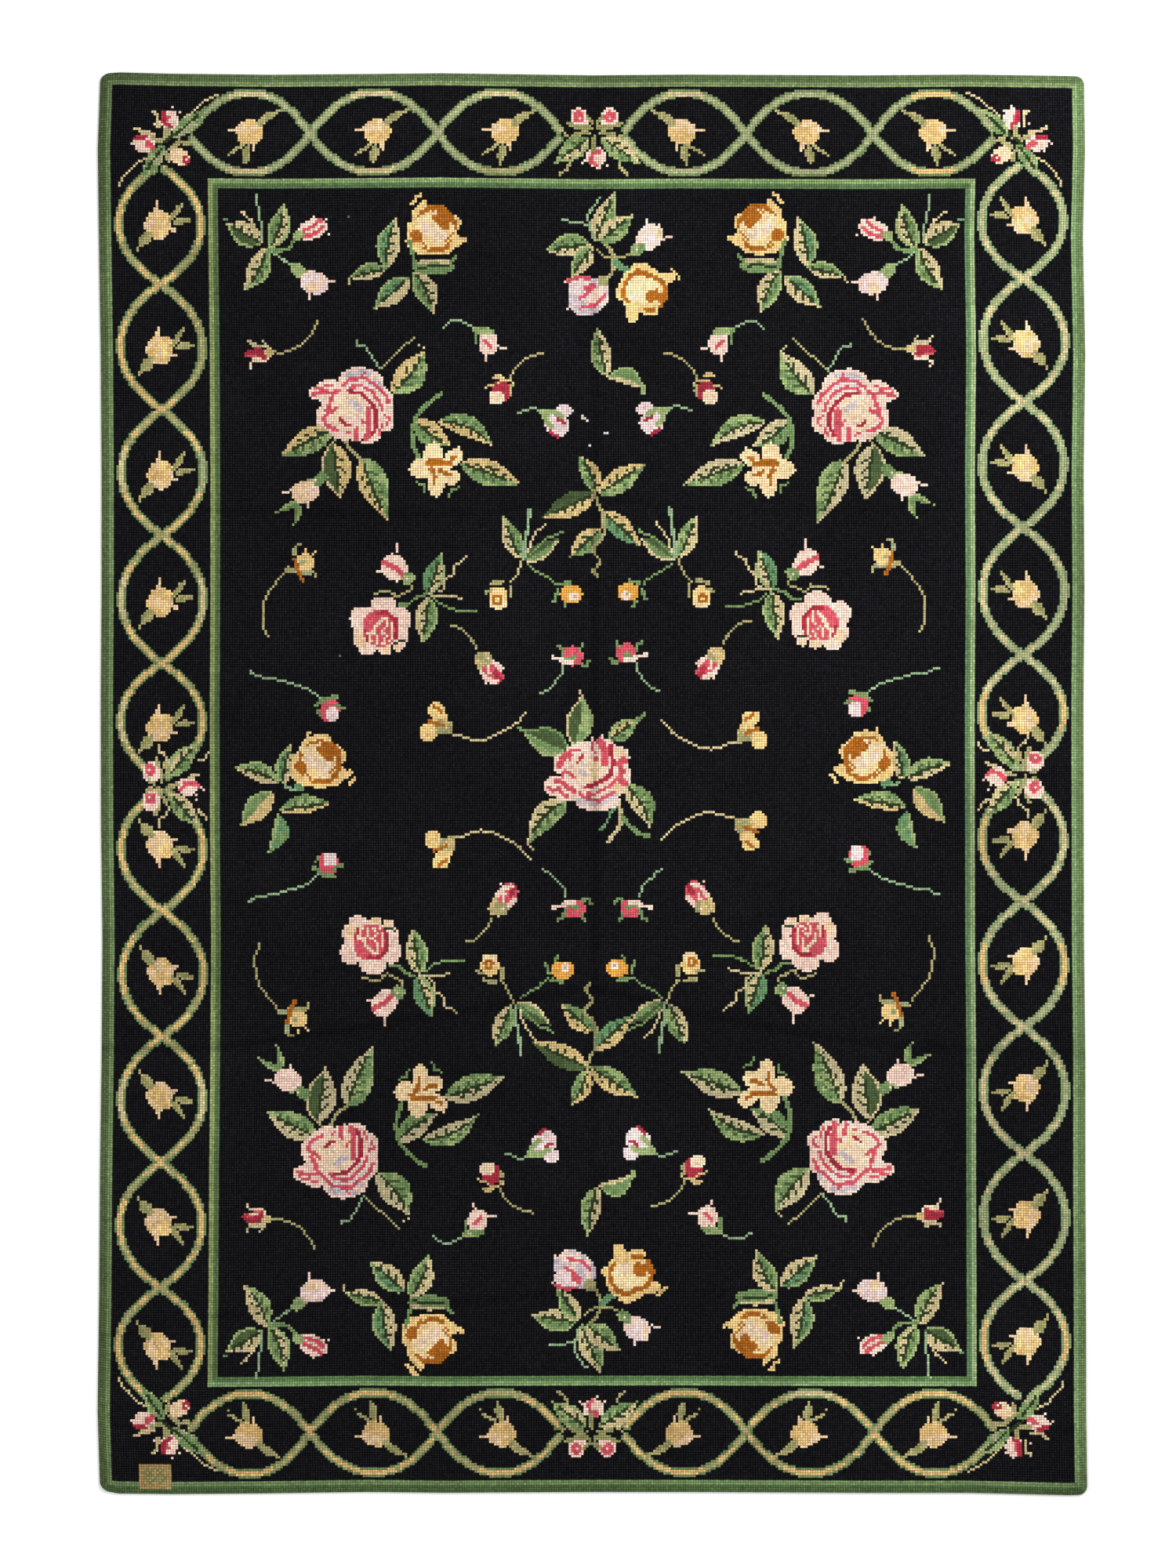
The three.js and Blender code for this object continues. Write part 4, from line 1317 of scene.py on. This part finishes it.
class Nodes:
    """A short way to add shader nodes and join them."""

    def __init__(self, name):
        self.material = bpy.data.materials.new(name)
        self.material.use_nodes = True
        self.tree = self.material.node_tree
        self.shader = self.tree.nodes["Principled BSDF"]

    def node(self, kind, **settings):
        node = self.tree.nodes.new(kind)
        for key, value in settings.items():
            setattr(node, key, value)
        return node

    def link(self, source, target):
        if hasattr(source, "is_linked"):
            self.tree.links.new(source, target)
        else:
            target.default_value = source

    def math(self, operation, *values, clamp=False):
        node = self.node("ShaderNodeMath", operation=operation, use_clamp=clamp)
        for value, socket in zip(values, node.inputs):
            self.link(value, socket)
        return node.outputs[0]

    def times(self, first, *others):
        for other in others:
            first = self.math("MULTIPLY", first, other)
        return first

    def scale(self, colour, factor):
        node = self.node("ShaderNodeVectorMath", operation="SCALE")
        self.link(colour, node.inputs[0])
        self.link(factor, node.inputs["Scale"])
        return node.outputs[0]

    def between(self, value, low, high):
        """Value, from 0 to 1, drawn out from low to high."""
        return self.math("MULTIPLY_ADD", value, high - low, low)


def stitch_place(nodes):
    """Where a point lies within its stitch, from 0 to 1 across and along, and the stitch's own number."""
    uv = nodes.node("ShaderNodeUVMap", uv_map="Stitch").outputs[0]
    part = nodes.node("ShaderNodeVectorMath", operation="FRACTION")
    nodes.link(uv, part.inputs[0])
    split = nodes.node("ShaderNodeSeparateXYZ")
    nodes.link(part.outputs[0], split.inputs[0])
    whole = nodes.node("ShaderNodeVectorMath", operation="FLOOR")
    nodes.link(uv, whole.inputs[0])
    own = nodes.node("ShaderNodeTexWhiteNoise", noise_dimensions="2D")
    nodes.link(whole.outputs[0], own.inputs["Vector"])
    return split.outputs["X"], split.outputs["Y"], own.outputs["Value"]


def fibre_noise(nodes, scale, detail):
    """Fine noise in the object's own space."""
    coordinates = nodes.node("ShaderNodeTexCoord").outputs["Object"]
    noise = nodes.node("ShaderNodeTexNoise")
    nodes.link(coordinates, noise.inputs["Vector"])
    noise.inputs["Scale"].default_value = scale
    noise.inputs["Detail"].default_value = detail
    return noise.outputs["Fac"]


def yarn_colour(nodes):
    return nodes.node("ShaderNodeVertexColor", layer_name="Yarn").outputs["Color"]


def finish_wool(nodes, yarn, shade, height, roughness, depth):
    """The shader's colour, roughness and bumps. The colour is the yarn times the shade, which holds painted
    shade and painted highlight. Depth is how high the bumps are, in metres.
    """
    nodes.link(nodes.scale(yarn, shade), nodes.shader.inputs["Base Color"])
    nodes.link(roughness, nodes.shader.inputs["Roughness"])
    nodes.shader.inputs["Specular IOR Level"].default_value = WOOL_SPECULAR
    bump = nodes.node("ShaderNodeBump")
    bump.inputs["Strength"].default_value = BUMP_STRENGTH
    bump.inputs["Distance"].default_value = depth
    nodes.link(height, bump.inputs["Height"])
    nodes.link(bump.outputs[0], nodes.shader.inputs["Normal"])
    return nodes.material


def wool_front():
    """Cross stitches: two short crossed strands that dive into the canvas at their corners."""
    nodes = Nodes("wool_front")
    across, along, own = stitch_place(nodes)
    swell_x = nodes.math("SINE", nodes.times(across, math.pi))
    swell_y = nodes.math("SINE", nodes.times(along, math.pi))
    pillow = nodes.math("POWER", nodes.times(swell_x, swell_y), FRONT_PILLOW)
    rising = nodes.math("ABSOLUTE", nodes.math("SUBTRACT", across, along))
    falling = nodes.math("ABSOLUTE", nodes.math("SUBTRACT", nodes.math("ADD", across, along), 1))
    upper = nodes.math("SUBTRACT", 1, nodes.times(rising, UPPER_STRAND_FALL), clamp=True)
    lower = nodes.math("SUBTRACT", 1, nodes.times(falling, LOWER_STRAND_FALL), clamp=True)
    strands = nodes.math("MAXIMUM", upper, nodes.times(lower, LOWER_STRAND_HEIGHT))
    fibres = fibre_noise(nodes, *FRONT_FIBRES)
    body = nodes.times(pillow, nodes.between(strands, *FRONT_BODY))
    height = nodes.math("ADD", body, nodes.times(fibres, FRONT_FIBRE_HEIGHT))
    yarn = yarn_colour(nodes)
    lightness = nodes.node("ShaderNodeRGBToBW")
    nodes.link(yarn, lightness.inputs[0])
    dark = nodes.math("SUBTRACT", 1, nodes.times(lightness.outputs[0], DARK_LIMIT), clamp=True)
    factor, base = nodes.between(dark, *SHADE_FACTOR), nodes.between(dark, *SHADE_BASE)
    # Darker gaps between stitches, partly dark holes and partly painted shade, and a painted highlight on their
    # raised tops.
    shade = nodes.math("MAXIMUM", nodes.math("MULTIPLY_ADD", body, factor, base), SHADE_LEAST)
    shade = nodes.times(shade, nodes.between(own, *OWN_SHADE), nodes.between(fibres, *FIBRE_SHADE))
    roughness = nodes.between(body, *FRONT_ROUGHNESS)
    return finish_wool(nodes, yarn, shade, height, roughness, FRONT_DEPTH)


def wool_back():
    """The underside: short upright bars between the holes, and bare canvas threads on the margin."""
    nodes = Nodes("wool_back")
    across, along, own = stitch_place(nodes)
    swell_x = nodes.math("ABSOLUTE", nodes.math("SINE", nodes.times(across, 2 * math.pi)))
    swell_y = nodes.math("SINE", nodes.times(along, math.pi))
    bars = nodes.math("POWER", nodes.times(swell_x, swell_y), BACK_PILLOW)
    fibres = fibre_noise(nodes, *BACK_FIBRES)
    height = nodes.math("ADD", bars, nodes.times(fibres, BACK_FIBRE_HEIGHT))
    # Darker between the bars, partly dark holes and partly painted shade, times each stitch's own tone.
    shade = nodes.times(nodes.between(bars, *BACK_SHADE), nodes.between(own, *BACK_OWN_SHADE))
    shade = nodes.times(shade, nodes.between(fibres, *BACK_FIBRE_SHADE))
    roughness = nodes.between(bars, *BACK_ROUGHNESS)
    return finish_wool(nodes, yarn_colour(nodes), shade, height, roughness, BACK_DEPTH)


def split_evenly(count, parts):
    edges = [round(count * part / parts) for part in range(parts + 1)]
    return list(zip(edges, edges[1:]))


# How many sheets the rug's two sides have across and along.
UPPER_SHEETS = (3, 4)
UNDER_SHEETS = (2, 3)


def make_rug():
    front, back = wool_front(), wool_back()
    for side, (across, along), material in (("upper", UPPER_SHEETS, front), ("under", UNDER_SHEETS, back)):
        for i, columns in enumerate(split_evenly(COLUMNS, across), 1):
            for j, rows in enumerate(split_evenly(ROWS, along), 1):
                build_tile(f"rug_{side}_{i}_{j}", columns, rows, side == "under", material)


# The floor: its half width in metres, the size and detail of its grain, its tones, roughness and shine.
FLOOR_HALF = 30
FLOOR_GRAIN = (6, 2)
FLOOR_TONES = (0.84, 0.86)
FLOOR_ROUGHNESS = 0.9
FLOOR_SPECULAR = 0.1


def make_floor():
    mesh = bpy.data.meshes.new(FLOOR_NAME)
    corners = [(FLOOR_HALF * x, FLOOR_HALF * y, 0) for x, y in ((-1, -1), (1, -1), (1, 1), (-1, 1))]
    mesh.from_pydata(corners, [], [(0, 1, 2, 3)])
    floor = bpy.data.objects.new(FLOOR_NAME, mesh)
    bpy.context.scene.collection.objects.link(floor)
    nodes = Nodes("floor_paint")
    tone = nodes.between(fibre_noise(nodes, *FLOOR_GRAIN), *FLOOR_TONES)
    combine = nodes.node("ShaderNodeCombineColor")
    for socket in combine.inputs:
        nodes.link(tone, socket)
    nodes.link(combine.outputs[0], nodes.shader.inputs["Base Color"])
    nodes.shader.inputs["Roughness"].default_value = FLOOR_ROUGHNESS
    nodes.shader.inputs["Specular IOR Level"].default_value = FLOOR_SPECULAR
    mesh.materials.append(nodes.material)


# The camera's long lens and its sensor, in millimetres. Then, in metres, the length of floor in the picture, the
# camera's place and how far it sees.
LENS = 120
SENSOR = 36
SEEN_LENGTH = 2.914
CAMERA_X = -0.008
CAMERA_Y = -0.0007
CAMERA_REACH = 50


def make_camera():
    """Straight above the rug."""
    camera = bpy.data.cameras.new("camera")
    camera.lens = LENS
    camera.sensor_width = SENSOR
    camera.clip_end = CAMERA_REACH
    holder = bpy.data.objects.new("camera", camera)
    holder.location = (CAMERA_X, CAMERA_Y, SEEN_LENGTH * LENS / SENSOR + CLOTH_THICKNESS * MM)
    bpy.context.scene.collection.objects.link(holder)
    bpy.context.scene.camera = holder


def make_light(name, location, size, energy):
    """A round lamp that looks at the middle of the rug."""
    lamp = bpy.data.lights.new(name, "AREA")
    lamp.shape = "DISK"
    lamp.size = size
    lamp.energy = energy
    holder = bpy.data.objects.new(name, lamp)
    holder.location = location
    aim = -np.array(location) / np.linalg.norm(location)
    holder.rotation_euler = (math.acos(-aim[2]), 0, math.atan2(aim[1], aim[0]) - math.pi / 2)
    bpy.context.scene.collection.objects.link(holder)


SKY_STRENGTH = 0.55


def make_lights():
    make_light("key", location=(2.6, 2.2, 4.2), size=2.5, energy=250)
    make_light("fill", location=(-3.0, -1.5, 4.0), size=3.5, energy=100)
    world = bpy.data.worlds.new("studio")
    world.use_nodes = True
    background = world.node_tree.nodes["Background"]
    background.inputs["Color"].default_value = (1, 1, 1, 1)
    background.inputs["Strength"].default_value = SKY_STRENGTH
    bpy.context.scene.world = world
    bpy.context.scene.view_settings.view_transform = "Standard"


shade_chart()
make_floor()
make_rug()
make_camera()
make_lights()
